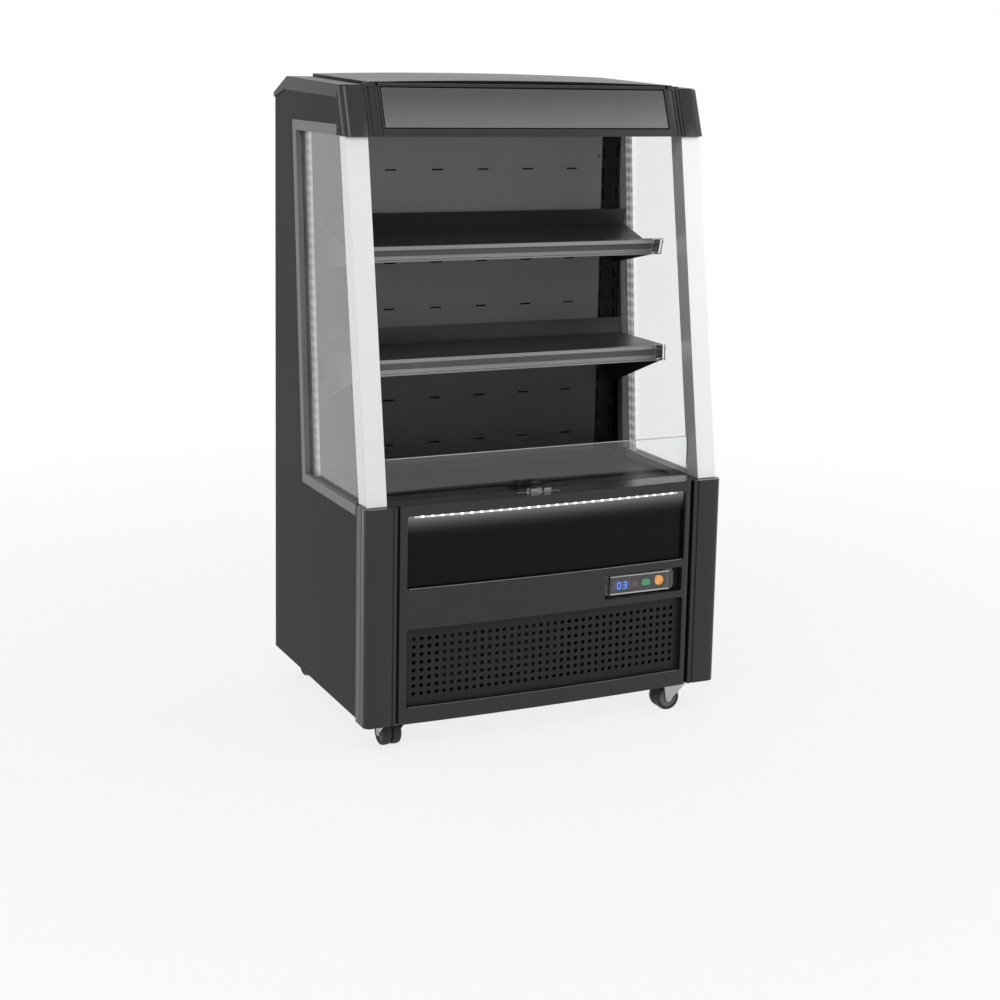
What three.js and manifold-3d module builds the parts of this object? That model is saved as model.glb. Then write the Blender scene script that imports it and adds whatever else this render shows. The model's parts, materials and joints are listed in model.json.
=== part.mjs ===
// Open multideck display fridge on casters, in millimetres.
// X runs to the viewer's right, Y runs from the front to the rear and Z up from the floor.
// Every size is written with Y = 0 on the front face of the corner posts; the finished group is
// then moved so that its origin is the middle of the footprint.

import * as THREE from "three";
import { mergeVertices } from "three/addons/utils/BufferGeometryUtils.js";
import Module from "manifold-3d";

const wasm = await Module();
wasm.setup();

// ---------------------------------------------------------------- driving sizes

// Cabinet
const WIDTH = 750;
const DEPTH = 526;
const PLINTH_TOP = 471;
const CANOPY_BOTTOM = 1136;
const CANOPY_HEIGHT = 92;
const BODY_BOTTOM = 56.5;
const PANEL_BOTTOM = 60;
const FIT = 0.3;

// Insulated side panels
const PANEL_WALL = 30.6;
const POST_WRAP = 3.4;
const PANEL_FRONT = 16;
const TOE_Y = 335;
const TOE_LENGTH = 25;
const TOE_HEIGHT = 7;

// Roof
const ROOF_FRONT = 158;
const ROOF_RISE = 10;
const ROOF_SHEET = 1.5;
const ROOF_CHAMFER = 79.5;
const ROOF_CHAMFER_DROP = 33;
const ROOF_OVERHANG = 3.5;
const ROOF_FLANGE = 24;
const CEILING_THICK = 62;

// Hood cover on the roof
const HOOD_INSET = 55;
const HOOD_FRONT = 152;
const HOOD_REAR = 450;
const HOOD_RIM = 5.5;
const HOOD_CROWN = 5;
const HOOD_WALL = 2;

// Canopy
const CANOPY_FACE = 113;
const CANOPY_LEAN = 0.368;
const CANOPY_BOW = 7;
const HEADER_HALF_GAP = 72.3;
const HEADER_THICK = 26;
const HEADER_BORDER = 14;
const HEADER_LIP = 4;
const INSET_GROOVE = 2;
const SHELL_WALL = 3;

// Corner posts
const POST_WIDTH = 62;
const POST_DEPTH = 50;
const POST_RADIUS = 13;
const FLUTE_WIDTH = 2;
const FLUTE_DEPTH = 2.5;

// Sloping front pillars
const PILLAR_FRONT = 15.2;
const PILLAR_LEAN = 0.1654;
const PILLAR_DEPTH = 41;
const PILLAR_INNER = 329;
const PILLAR_OUTER = 369;
const PILLAR_WALL = 4;
const GLASS_SLOT = 5;

// Side windows
const WINDOW_FRONT = 65;
const WINDOW_SILL = 447;
const WINDOW_BAND = 20;
const WINDOW_REAR_LOW = 166;
const WINDOW_REAR_HIGH = 103;
const GLASS_THICK = 4.6;
const GLASS_REVEAL = 12;
const STRIP_WIDTH = 17;
const STRIP_DEPTH = 7;
const STRIP_SETBACK = 15;

// Rear service cover
const LOUVRE_ROWS = 5;
const LOUVRE_FIRST = 170;
const LOUVRE_PITCH = 26;

// Front fascia
const FASCIA_GAP = 2;
const FASCIA_BOW = 7.5;
const FASCIA_REAR = 14;
const FASCIA_CREST = 473;
const FASCIA_RADIUS = 12;
const RECESS_BORDER = 17;
const DISPLAY_BOTTOM = 314.6;
const DISPLAY_TOP = 453.2;
const GRILLE_BOTTOM = 87.2;
const GRILLE_TOP = 238.6;
const CONTROL_LEFT = 116;
const CONTROL_RIGHT_BORDER = 3;
const CONTROL_BOTTOM = 252.5;
const CONTROL_TOP = 300.6;
const GRILLE_SHEET = 2.5;
const GRILLE_SETBACK = 11;
const HOLE_DIAMETER = 8;
const HOLE_SIDES = 4;
const HOLE_PITCH_X = 15.28;
const HOLE_PITCH_Z = 15.1;
const HOLE_MARGIN_X = 18.4;
const HOLE_MARGIN_Z = 18.8;
const LED_PITCH = 19.5;
const DISPLAY_SETBACK = 9;
const DISPLAY_SHEET = 2.5;
const STRIP_BOARD = 2;
const WINDOW_RADIUS = 5;

// Controls
const PLATE_THICK = 3;
const COLLAR_DEPTH = 9;
const COLLAR_WALL = 1.6;
const ROCKER_TRAVEL_GAP = 0.8;
const ROCKER_REST = -7;
const DISPLAY_MODULE = { x: 161.8, z: 273.2, width: 38.4, height: 18.5 };
const GREEN_ROCKER = { x: 216.5, z: 274, width: 18.2, height: 12.9 };
const AMBER_ROCKER = { x: 245.7, z: 275.1, width: 17.4, height: 19 };
const COVER_LEFT = 118;
const COVER_WIDTH = 158;
const COVER_HEIGHT = 44;
const COVER_DEPTH = 9;
const COVER_WALL = 1.5;

// Cold compartment
const DECK_TOP = 454;
const SHEET = 1.5;
const DUCT_SETBACK = 189;
const DUCT_HALF = 268.2;
const UPRIGHT_DEPTH = 35;
const UPRIGHT_FLANGE = 51;
const UPRIGHT_FACE = 10.5;
const UPRIGHT_SLOT_PITCH = 42;
const UPRIGHT_SLOT_LENGTH = 22;
const UPRIGHT_SLOT_WIDTH = 3;
const HOOK_X = 322;
const AIR_SLOT_COLUMNS = 5;
const AIR_SLOT_PITCH_X = 99.3;
const AIR_SLOT_LENGTH = 24;
const AIR_SLOT_HEIGHT = 3;
const AIR_SLOT_FIRST_Z = 512.3;
const AIR_SLOT_PITCH_Z = 91.5;
const TUB_FLOOR_TOP = 440;
const TUB_FLOOR_THICK = 35;
const TUB_FRONT_THICK = 28;
const REAR_WALL = 40;
const RISER_Y = 58;
const RISER_THICK = 5;
const RISER_TOP = 549;
const RISER_HALF = 327;
const RISER_FOOT = 465;

// Shelves
const SHELF_HALF = 322;
const SHELF_SHEET = 1.2;
const SHELF_UPSTAND = 32;
const SHELF_REAR_GAP = 38;
const BRACKET_SHEET = 2;
const RAIL_HEIGHT = 32;
const RAIL_DEPTH = 9;
const RAIL_END = 4;
const LOWER_SHELF = { z: 719, depth: 222, tilt: 0, railRise: 0, drop: 113, tip: 33 };
const UPPER_SHELF = { z: 958, depth: 200, tilt: 16, railRise: 27, drop: 92, tip: 7 };

// Casters
const WHEEL_DIAMETER = 50;
const WHEEL_WIDTH = 38;
const TREAD_GAP = 3;
const CASTER_X = 305;
const CASTER_FRONT_Y = 36;
const CASTER_REAR_INSET = 60;
const CASTER_TRAIL = 24;
const FORK_SHEET = 2;
const AXLE_RADIUS = 3;
const KINGPIN_RADIUS = 5;
const CASTER_PLATE = 48;

// Refrigeration
const COMPRESSOR_RADIUS = 62;
const COMPRESSOR_HEIGHT = 165;
const CONDENSER_WIDTH = 250;
const CONDENSER_HEIGHT = 165;
const CONDENSER_THICK = 45;
const CONDENSER_Y = 58;
const CONDENSER_X = -80;
const FAN_RADIUS = 72;
const EVAPORATOR_WIDTH = 440;
const EVAPORATOR_HEIGHT = 120;
const EVAPORATOR_THICK = 70;
const COIL_FIN_PITCH = 40;
const EVAPORATOR_FAN_RADIUS = 52;
const SHAFT_RADIUS = 3;

// ---------------------------------------------------------------- sizes that follow

const half = WIDTH / 2;
const panelOut = half - POST_WRAP;
const panelIn = panelOut - PANEL_WALL;
const innerHalf = panelIn - FIT;
const postIn = half - POST_WIDTH;
const canopyTop = CANOPY_BOTTOM + CANOPY_HEIGHT;
const fasciaHalf = postIn - FASCIA_GAP;
const recessHalf = fasciaHalf - RECESS_BORDER;
const headerHalf = half - HEADER_HALF_GAP;
const hoodHalf = half - HOOD_INSET;
const ductY = DEPTH - DUCT_SETBACK;
const hookY = ductY + UPRIGHT_DEPTH;
const rearInner = DEPTH - REAR_WALL;
const glassOut = panelOut - GLASS_REVEAL;
const glassIn = glassOut - GLASS_THICK;
const roofRear = DEPTH + ROOF_OVERHANG;
const roofKnee = roofRear - ROOF_CHAMFER;
const roofUnder = ROOF_SHEET + FIT + 0.4;
const ceilingBottom = canopyTop - CEILING_THICK;

const roofZ = (y) => {
  if (y <= roofKnee) return canopyTop + (ROOF_RISE * (y - ROOF_FRONT)) / (roofKnee - ROOF_FRONT);
  return canopyTop + ROOF_RISE - (ROOF_CHAMFER_DROP * (y - roofKnee)) / ROOF_CHAMFER;
};
const canopyFace = (z) => CANOPY_FACE + (z - CANOPY_BOTTOM) * CANOPY_LEAN;
const cheekFront = (z) => CANOPY_FACE + 18 + (z - CANOPY_BOTTOM) * 0.3;
const pillarFront = (z) => PILLAR_FRONT + (z - PLINTH_TOP - 4) * PILLAR_LEAN;
const pillarRear = (z) => pillarFront(z) + PILLAR_DEPTH;
const windowTop = CANOPY_BOTTOM + WINDOW_BAND;
const windowRearLow = DEPTH - WINDOW_REAR_LOW;
const windowRearHigh = DEPTH - WINDOW_REAR_HIGH;
const windowSlope = (windowRearHigh - windowRearLow) / (windowTop - WINDOW_SILL);
const windowRear = (z) => windowRearLow + (z - WINDOW_SILL) * windowSlope;
const openingRear = (z) => windowRear(z) - WINDOW_BAND;
const cheekRear = pillarRear(CANOPY_BOTTOM) + 10;

// ---------------------------------------------------------------- shape helpers

function solid(geometry) {
  const plain = geometry.clone();
  plain.deleteAttribute("normal");
  plain.deleteAttribute("uv");
  const merged = mergeVertices(plain, 1e-4);
  const vertProperties = new Float32Array(merged.attributes.position.array);
  const triVerts = new Uint32Array(merged.index.array);
  return new wasm.Manifold(new wasm.Mesh({ numProp: 3, vertProperties, triVerts }));
}

function geometryOf(shape) {
  const data = shape.getMesh();
  const geometry = new THREE.BufferGeometry();
  geometry.setAttribute("position", new THREE.BufferAttribute(data.vertProperties, 3));
  geometry.setIndex(new THREE.BufferAttribute(data.triVerts, 1));
  const faceted = geometry.toNonIndexed();
  faceted.computeVertexNormals();
  return faceted;
}

const join = (...shapes) => shapes.reduce((all, next) => all.add(next));
const cut = (base, ...tools) => tools.reduce((rest, tool) => rest.subtract(tool), base);

const asShape = (outline) => {
  if (!Array.isArray(outline)) return outline;
  return new THREE.Shape(outline.map(([a, b]) => new THREE.Vector2(a, b)));
};

// Local axes of an outline: [a, b] lies in (Y, Z), (X, Z) or (X, Y).
const basis = {
  x: new THREE.Matrix4().set(0, 0, 1, 0, 1, 0, 0, 0, 0, 1, 0, 0, 0, 0, 0, 1),
  y: new THREE.Matrix4().set(1, 0, 0, 0, 0, 0, -1, 0, 0, 1, 0, 0, 0, 0, 0, 1),
  z: new THREE.Matrix4(),
};

function extrusion(outline, axis, from, to, options = {}) {
  const geometry = new THREE.ExtrudeGeometry(asShape(outline), {
    depth: to - from,
    bevelEnabled: false,
    curveSegments: 3,
    ...options,
  });
  geometry.translate(0, 0, axis === "y" ? -to : from);
  geometry.applyMatrix4(basis[axis]);
  return geometry;
}

const along = (outline, axis, from, to, options) => solid(extrusion(outline, axis, from, to, options));

const rectangle = (a0, a1, b0, b1) => [[a0, b0], [a1, b0], [a1, b1], [a0, b1]];

const block = ([x0, x1], [y0, y1], [z0, z1]) => along(rectangle(x0, x1, y0, y1), "z", z0, z1);

function roundedRectangle(a0, a1, b0, b1, radius) {
  const shape = new THREE.Shape();
  shape.absarc(a1 - radius, b0 + radius, radius, -Math.PI / 2, 0);
  shape.absarc(a1 - radius, b1 - radius, radius, 0, Math.PI / 2);
  shape.absarc(a0 + radius, b1 - radius, radius, Math.PI / 2, Math.PI);
  shape.absarc(a0 + radius, b0 + radius, radius, Math.PI, Math.PI * 1.5);
  return shape;
}

// A round bar along one axis; centre gives the other two coordinates in axis order.
function rod(axis, [a, b], radius, from, to, sides = 12) {
  const geometry = new THREE.CylinderGeometry(radius, radius, to - from, sides);
  const middle = (from + to) / 2;
  if (axis === "x") geometry.rotateZ(Math.PI / 2).translate(middle, a, b);
  if (axis === "y") geometry.translate(a, middle, b);
  if (axis === "z") geometry.rotateX(Math.PI / 2).translate(a, b, middle);
  return solid(geometry);
}

// Leans a geometry to the rear by so many millimetres for each millimetre of height.
function lean(geometry, rate, baseZ) {
  const shear = new THREE.Matrix4().set(1, 0, 0, 0, 0, 1, rate, -rate * baseZ, 0, 0, 1, 0, 0, 0, 0, 1);
  return geometry.applyMatrix4(shear);
}

// Points of a bowed front edge, from the left to the right, set back at both ends.
function bowedEdge(halfWidth, bow, setback, bowHalf = halfWidth) {
  const steps = 10;
  return Array.from({ length: steps + 1 }, (_, i) => {
    const x = -halfWidth + (2 * halfWidth * i) / steps;
    return [x, setback - bow * (1 - (x / bowHalf) ** 2)];
  });
}

const bowedPlan = (halfWidth, bow, front, rear) => [
  ...bowedEdge(halfWidth, bow, front),
  [halfWidth, rear],
  [-halfWidth, rear],
];

const bowedSheet = (halfWidth, bow, front, thick, bowHalf = halfWidth) => [
  ...bowedEdge(halfWidth, bow, front, bowHalf),
  ...bowedEdge(halfWidth, bow, front + thick, bowHalf).reverse(),
];

// ---------------------------------------------------------------- scene

const fridge = new THREE.Group();
fridge.name = "display_fridge";
fridge.position.y = -(DEPTH + ROOF_OVERHANG - FASCIA_BOW) / 2;

const LOOKS = {
  blackSheet: { color: 0x26272a, roughness: 0.45, metalness: 0.2 },
  blackMoulding: { color: 0x1c1d1f, roughness: 0.35, metalness: 0 },
  gloss: { color: 0x101113, roughness: 0.12, metalness: 0 },
  grey: { color: 0x7e8083, roughness: 0.5, metalness: 0.1 },
  aluminium: { color: 0xdfe1e3, roughness: 0.3, metalness: 0.8 },
  zinc: { color: 0xc9cccf, roughness: 0.35, metalness: 0.9 },
  tyre: { color: 0x2b2b2d, roughness: 0.7, metalness: 0 },
  glass: { color: 0xe6f0f0, roughness: 0.05, metalness: 0, transparent: true, opacity: 0.3 },
  light: { color: 0xffffff, roughness: 0.4, metalness: 0, emissive: 0xffffff },
  green: { color: 0x1f8a4c, roughness: 0.3, metalness: 0 },
  amber: { color: 0xe59a1c, roughness: 0.3, metalness: 0 },
  blue: { color: 0x1c3f8f, roughness: 0.2, metalness: 0 },
  galvanised: { color: 0x9fa3a6, roughness: 0.5, metalness: 0.7 },
};

function piece(name, shape, look, parent = fridge) {
  const mesh = new THREE.Mesh(geometryOf(shape), new THREE.MeshStandardMaterial(LOOKS[look]));
  mesh.name = name;
  parent.add(mesh);
  return mesh;
}

// A right-hand piece and its mirrored left-hand twin.
function pair(name, shape, look, parent = fridge) {
  piece(`right_${name}`, shape, look, parent);
  piece(`left_${name}`, shape, look, parent).scale.x = -1;
}

// ---------------------------------------------------------------- body panels

const roofUnderside = (y) => roofZ(y) - roofUnder;

function sidePanel() {
  const outline = [
    [PANEL_FRONT, PANEL_BOTTOM],
    [DEPTH, PANEL_BOTTOM],
    [DEPTH, roofUnderside(DEPTH)],
    [roofKnee, roofUnderside(roofKnee)],
    [cheekFront(canopyTop) + 1, roofUnderside(cheekFront(canopyTop) + 1)],
    [cheekFront(CANOPY_BOTTOM), CANOPY_BOTTOM],
    [cheekRear - FIT, CANOPY_BOTTOM],
    [cheekRear - FIT, windowTop + FIT],
    [windowRear(windowTop) + FIT, windowTop + FIT],
    [windowRear(WINDOW_SILL) + FIT, WINDOW_SILL - FIT],
    [WINDOW_FRONT - FIT, WINDOW_SILL - FIT],
    [WINDOW_FRONT - FIT, PLINTH_TOP - FIT],
    [POST_DEPTH + FIT, PLINTH_TOP - FIT],
    [POST_DEPTH + FIT, PLINTH_TOP - SHELL_WALL - FIT],
    [PANEL_FRONT, PLINTH_TOP - SHELL_WALL - FIT],
  ];
  const toeSides = [panelIn + 4, panelOut - 6];
  const toe = block(toeSides, [TOE_Y, TOE_Y + TOE_LENGTH], [PANEL_BOTTOM - TOE_HEIGHT, PANEL_BOTTOM + 1]);
  return join(along(outline, "x", panelIn, panelOut), toe);
}

function windowFrame() {
  const slotDepth = 6;
  const bottom = WINDOW_SILL + WINDOW_BAND;
  const band = [
    [WINDOW_FRONT, WINDOW_SILL],
    [windowRear(WINDOW_SILL), WINDOW_SILL],
    [windowRear(windowTop), windowTop],
    [cheekRear, windowTop],
    [cheekRear, CANOPY_BOTTOM],
    [openingRear(CANOPY_BOTTOM), CANOPY_BOTTOM],
    [openingRear(bottom), bottom],
    [WINDOW_FRONT, bottom],
  ];
  const slot = [
    [WINDOW_FRONT - 1, bottom - slotDepth],
    [openingRear(bottom) + slotDepth, bottom - slotDepth],
    [openingRear(CANOPY_BOTTOM) + slotDepth, CANOPY_BOTTOM + slotDepth],
    [cheekRear - 1, CANOPY_BOTTOM + slotDepth],
    [cheekRear - 1, CANOPY_BOTTOM - 1],
    [WINDOW_FRONT - 1, bottom + 1],
  ];
  return cut(along(band, "x", panelIn, panelOut), along(slot, "x", glassIn - FIT, glassOut + FIT));
}

function sideGlass() {
  const bottom = WINDOW_SILL + WINDOW_BAND - 6 + FIT;
  const top = CANOPY_BOTTOM - FIT;
  const slotTop = CANOPY_BOTTOM + 6 - FIT;
  const frontOf = (z) => pillarRear(z) - GLASS_SLOT + FIT;
  const foot = PLINTH_TOP + FIT;
  const outline = [
    [WINDOW_FRONT + FIT, bottom],
    [openingRear(bottom) + 6 - 2 * FIT, bottom],
    [openingRear(slotTop) + 6 - 2 * FIT, slotTop],
    [cheekRear + FIT, slotTop],
    [cheekRear + FIT, top],
    [frontOf(top), top],
    [frontOf(foot), foot],
    [WINDOW_FRONT + FIT, foot],
  ];
  return along(outline, "x", glassIn, glassOut);
}

function frontPillar() {
  const foot = PLINTH_TOP + FIT;
  const top = CANOPY_BOTTOM - FIT;
  const strip = (from, to, z0, z1) => [
    [pillarFront(z0) + from, z0],
    [pillarFront(z0) + to, z0],
    [pillarFront(z1) + to, z1],
    [pillarFront(z1) + from, z1],
  ];
  const over = 5;
  const bar = along(strip(0, PILLAR_DEPTH, foot, top), "x", PILLAR_INNER, PILLAR_OUTER);
  const bore = along(
    strip(PILLAR_WALL, PILLAR_DEPTH - PILLAR_WALL - GLASS_SLOT, foot - over, top + over),
    "x",
    PILLAR_INNER + PILLAR_WALL,
    PILLAR_OUTER - PILLAR_WALL,
  );
  const groove = along(strip(2, 9, foot - over, top + over), "x", PILLAR_OUTER - 2, PILLAR_OUTER + 1);
  const glassSlot = along(
    strip(PILLAR_DEPTH - GLASS_SLOT, PILLAR_DEPTH + 1, foot - over, top + over),
    "x",
    glassIn - FIT,
    glassOut + FIT,
  );
  return cut(bar, bore, groove, glassSlot);
}

// Lamp channel, parallel to the rear edge of the side window.
function sideLightStrip() {
  const z0 = WINDOW_SILL + WINDOW_BAND + FIT;
  const z1 = CANOPY_BOTTOM - FIT;
  const strip = (inset) => [
    [openingRear(z0) - STRIP_SETBACK - inset, z0],
    [openingRear(z0) - STRIP_SETBACK - STRIP_WIDTH + inset, z0],
    [openingRear(z1) - STRIP_SETBACK - STRIP_WIDTH + inset, z1],
    [openingRear(z1) - STRIP_SETBACK - inset, z1],
  ];
  const outer = glassIn - FIT;
  const channel = along(strip(0), "x", outer - STRIP_DEPTH, outer);
  const trough = along(strip(2.5), "x", outer - STRIP_DEPTH - 1, outer - 3);
  return cut(channel, trough);
}

function rearPanel() {
  const outline = [
    [rearInner, WINDOW_SILL],
    [DEPTH, WINDOW_SILL],
    [DEPTH, roofUnderside(DEPTH)],
    [roofKnee > rearInner ? roofKnee : rearInner, roofUnderside(Math.max(roofKnee, rearInner))],
  ];
  return along(outline, "x", -innerHalf, innerHalf);
}

// Lift-off sheet over the machine space, with pressed louvres and the power inlet.
function serviceCover() {
  const z0 = PANEL_BOTTOM;
  const z1 = WINDOW_SILL - FIT;
  const front = DEPTH - 2;
  const flangeFront = DEPTH - 14;
  const plan = [
    [-innerHalf, DEPTH],
    [-innerHalf, flangeFront],
    [-innerHalf + 2, flangeFront],
    [-innerHalf + 2, front],
    [innerHalf - 2, front],
    [innerHalf - 2, flangeFront],
    [innerHalf, flangeFront],
    [innerHalf, DEPTH],
  ];
  let cover = along(plan, "z", z0, z1);
  const hoodProfile = [[0, 0], [2.5, 0], [2.5, 1.5], [0, 9]].map(([y, z]) => [DEPTH - 0.2 + y, z]);
  for (const side of [-1, 1]) {
    for (let row = 0; row < LOUVRE_ROWS; row += 1) {
      const z = z0 + LOUVRE_FIRST + row * LOUVRE_PITCH;
      const x = side * innerHalf * 0.42;
      const lip = along(hoodProfile.map(([y, dz]) => [y, z + dz]), "x", x - 55, x + 55);
      const slot = block([x - 52, x + 52], [front - 1, DEPTH + 1], [z - 1, z + 4]);
      cover = cut(cover.add(lip), slot);
    }
  }
  const inlet = block([innerHalf - 92, innerHalf - 58], [DEPTH - 24, DEPTH - 1], [z0 + 60, z0 + 86]);
  const socket = block([innerHalf - 88, innerHalf - 62], [DEPTH - 18, DEPTH + 1], [z0 + 64, z0 + 82]);
  return cut(cover.add(inlet), socket);
}

// Insulated floor of the cold space, turned up at the front behind the fascia.
function coldTub() {
  const floor = TUB_FLOOR_TOP - TUB_FLOOR_THICK;
  const front = FASCIA_REAR + 2.3;
  const profile = [
    [front, CONTROL_TOP + 2],
    [front + TUB_FRONT_THICK, CONTROL_TOP + 2],
    [front + TUB_FRONT_THICK, floor],
    [rearInner - FIT, floor],
    [rearInner - FIT, TUB_FLOOR_TOP],
    [front + TUB_FRONT_THICK, TUB_FLOOR_TOP],
    [front + TUB_FRONT_THICK, PLINTH_TOP - 12.3],
    [front, PLINTH_TOP - 12.3],
  ];
  const wide = along(profile, "x", -innerHalf, innerHalf);
  const besidePost = [postIn - FIT, half];
  const notch = block(besidePost, [0, POST_DEPTH + FIT], [0, PLINTH_TOP]);
  const mirrored = block([-half, -postIn + FIT], [0, POST_DEPTH + FIT], [0, PLINTH_TOP]);
  return cut(wide, notch, mirrored);
}

function ceilingPanel() {
  const front = canopyFace(canopyTop - 2) + HEADER_THICK + FIT;
  const outline = [
    [front, ceilingBottom],
    [rearInner - FIT, ceilingBottom],
    [rearInner - FIT, roofUnderside(rearInner - FIT)],
    [Math.min(roofKnee, rearInner - 1), roofUnderside(Math.min(roofKnee, rearInner - 1))],
    [front, roofUnderside(front)],
  ];
  return along(outline, "x", -innerHalf, innerHalf);
}

// ---------------------------------------------------------------- roof and canopy

function roofCap() {
  const skin = [
    [ROOF_FRONT, roofZ(ROOF_FRONT)],
    [roofKnee, roofZ(roofKnee)],
    [roofRear, roofZ(roofRear)],
    [roofRear, roofZ(roofRear) - 9],
    [roofRear - ROOF_SHEET, roofZ(roofRear) - 9],
    [roofRear - ROOF_SHEET, roofZ(roofRear) - ROOF_SHEET],
    [roofKnee, roofZ(roofKnee) - ROOF_SHEET],
    [ROOF_FRONT, roofZ(ROOF_FRONT) - ROOF_SHEET],
  ];
  const flange = [
    [ROOF_FRONT + 10, roofZ(ROOF_FRONT) + 0.3],
    [roofKnee, roofZ(roofKnee)],
    [roofRear, roofZ(roofRear)],
    [roofRear, roofZ(roofRear) - 9],
    [roofRear - 8, roofZ(roofRear) - 8],
    [roofKnee + 18, roofZ(roofKnee) - ROOF_FLANGE - 2],
    [ROOF_FRONT + 10, roofZ(ROOF_FRONT) - ROOF_FLANGE + 1],
  ];
  const reach = half - 1.4;
  const top = along(skin, "x", -reach, reach);
  const right = along(flange, "x", panelOut + FIT, reach);
  const left = along(flange, "x", -reach, -panelOut - FIT);
  return join(top, right, left);
}

// Crowned cover that stands on the roof.
function hoodCover() {
  const crown = (halfWidth, rim) =>
    bowedEdge(halfWidth, -HOOD_CROWN, rim).map(([x, z]) => [x, z]);
  const outer = [[hoodHalf, 0], [-hoodHalf, 0], ...crown(hoodHalf, HOOD_RIM)];
  const innerWidth = hoodHalf - HOOD_WALL;
  const inner = [[innerWidth, -1], [-innerWidth, -1], ...crown(innerWidth, HOOD_RIM - HOOD_WALL)];
  const hollowFrom = HOOD_FRONT + HOOD_WALL;
  const shell = cut(
    along(outer, "y", HOOD_FRONT, HOOD_REAR),
    along(inner, "y", hollowFrom, HOOD_REAR - HOOD_WALL),
  );
  const data = geometryOf(shell);
  const slope = ROOF_RISE / (roofKnee - ROOF_FRONT);
  const rise = new THREE.Matrix4().set(
    1, 0, 0, 0,
    0, 1, 0, 0,
    0, slope, 1, canopyTop + FIT - slope * ROOF_FRONT,
    0, 0, 0, 1,
  );
  const placed = solid(data.applyMatrix4(rise));
  const overHeader = block([-half, half], [0, ROOF_FRONT], [0, canopyTop + HEADER_LIP + FIT]);
  return cut(placed, overHeader);
}

const canopyPrism = (plan, z0, z1) => {
  const geometry = extrusion(plan, "z", z0, z1);
  geometry.translate(0, CANOPY_FACE, 0);
  return solid(lean(geometry, CANOPY_LEAN, CANOPY_BOTTOM));
};

function canopyHeader() {
  const width = headerHalf - FIT;
  const top = canopyTop + HEADER_LIP;
  const body = canopyPrism(bowedPlan(width, CANOPY_BOW, 0, HEADER_THICK), CANOPY_BOTTOM, top);
  const insetHalf = width - HEADER_LIP;
  const insetBottom = CANOPY_BOTTOM + HEADER_BORDER;
  const pocketPlan = [[-insetHalf, -60], [insetHalf, -60], ...bowedEdge(insetHalf, CANOPY_BOW, 8).reverse()];
  const pocket = canopyPrism(pocketPlan, insetBottom, canopyTop - 2);
  const hollowHalf = width - SHELL_WALL;
  const hollow = canopyPrism(
    rectangle(-hollowHalf, hollowHalf, 8 + SHELL_WALL, HEADER_THICK + 1),
    CANOPY_BOTTOM + SHELL_WALL,
    top - SHELL_WALL - 8,
  );
  const behindRoofEdge = block([-half, half], [ROOF_FRONT - FIT, DEPTH], [canopyTop - 2, top + 1]);
  return cut(body, pocket, hollow, behindRoofEdge);
}

function headerPanel() {
  const insetHalf = headerHalf - FIT - HEADER_LIP - INSET_GROOVE;
  const insetBottom = CANOPY_BOTTOM + HEADER_BORDER + INSET_GROOVE;
  const plan = bowedSheet(insetHalf, CANOPY_BOW, 1, 7 - FIT);
  return canopyPrism(plan, insetBottom, canopyTop - 2 - INSET_GROOVE);
}

// Plan of a fluted corner moulding: a shell that is open to the rear.
function cornerPlan({ inner, depth, flutes, sideFlute }) {
  const shape = new THREE.Shape();
  const edge = half - POST_RADIUS;
  shape.moveTo(inner, depth);
  shape.lineTo(inner, 1.5);
  shape.lineTo(inner + 1.5, 0);
  for (const [start, width, deep] of flutes) {
    shape.lineTo(start, 0);
    shape.lineTo(start, deep);
    shape.lineTo(start + width, deep);
    shape.lineTo(start + width, 0);
  }
  shape.lineTo(edge, 0);
  shape.absarc(edge, POST_RADIUS, POST_RADIUS, -Math.PI / 2, 0, false);
  if (sideFlute) {
    shape.lineTo(half, sideFlute);
    shape.lineTo(half - 1.5, sideFlute);
    shape.lineTo(half - 1.5, sideFlute + FLUTE_WIDTH);
    shape.lineTo(half, sideFlute + FLUTE_WIDTH);
  }
  shape.lineTo(half, depth);
  return shape;
}

function cornerPost() {
  const plan = cornerPlan({
    inner: postIn,
    depth: POST_DEPTH,
    flutes: [[postIn + 7.5, FLUTE_WIDTH + 1, FLUTE_DEPTH]],
    sideFlute: 25,
  });
  const shell = along(plan, "z", BODY_BOTTOM, PLINTH_TOP);
  const cavityFront = FLUTE_DEPTH + SHELL_WALL;
  const cavityOutline = [
    [postIn + SHELL_WALL, cavityFront],
    [half - POST_RADIUS, cavityFront - 1],
    [panelOut - 2, cavityFront + 5],
    [panelOut + FIT, cavityFront + 9],
    [panelOut + FIT, POST_DEPTH + 1],
    [postIn + SHELL_WALL, POST_DEPTH + 1],
  ];
  const cavity = along(cavityOutline, "z", BODY_BOTTOM - 1, PLINTH_TOP - SHELL_WALL);
  return cut(shell, cavity);
}

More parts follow.
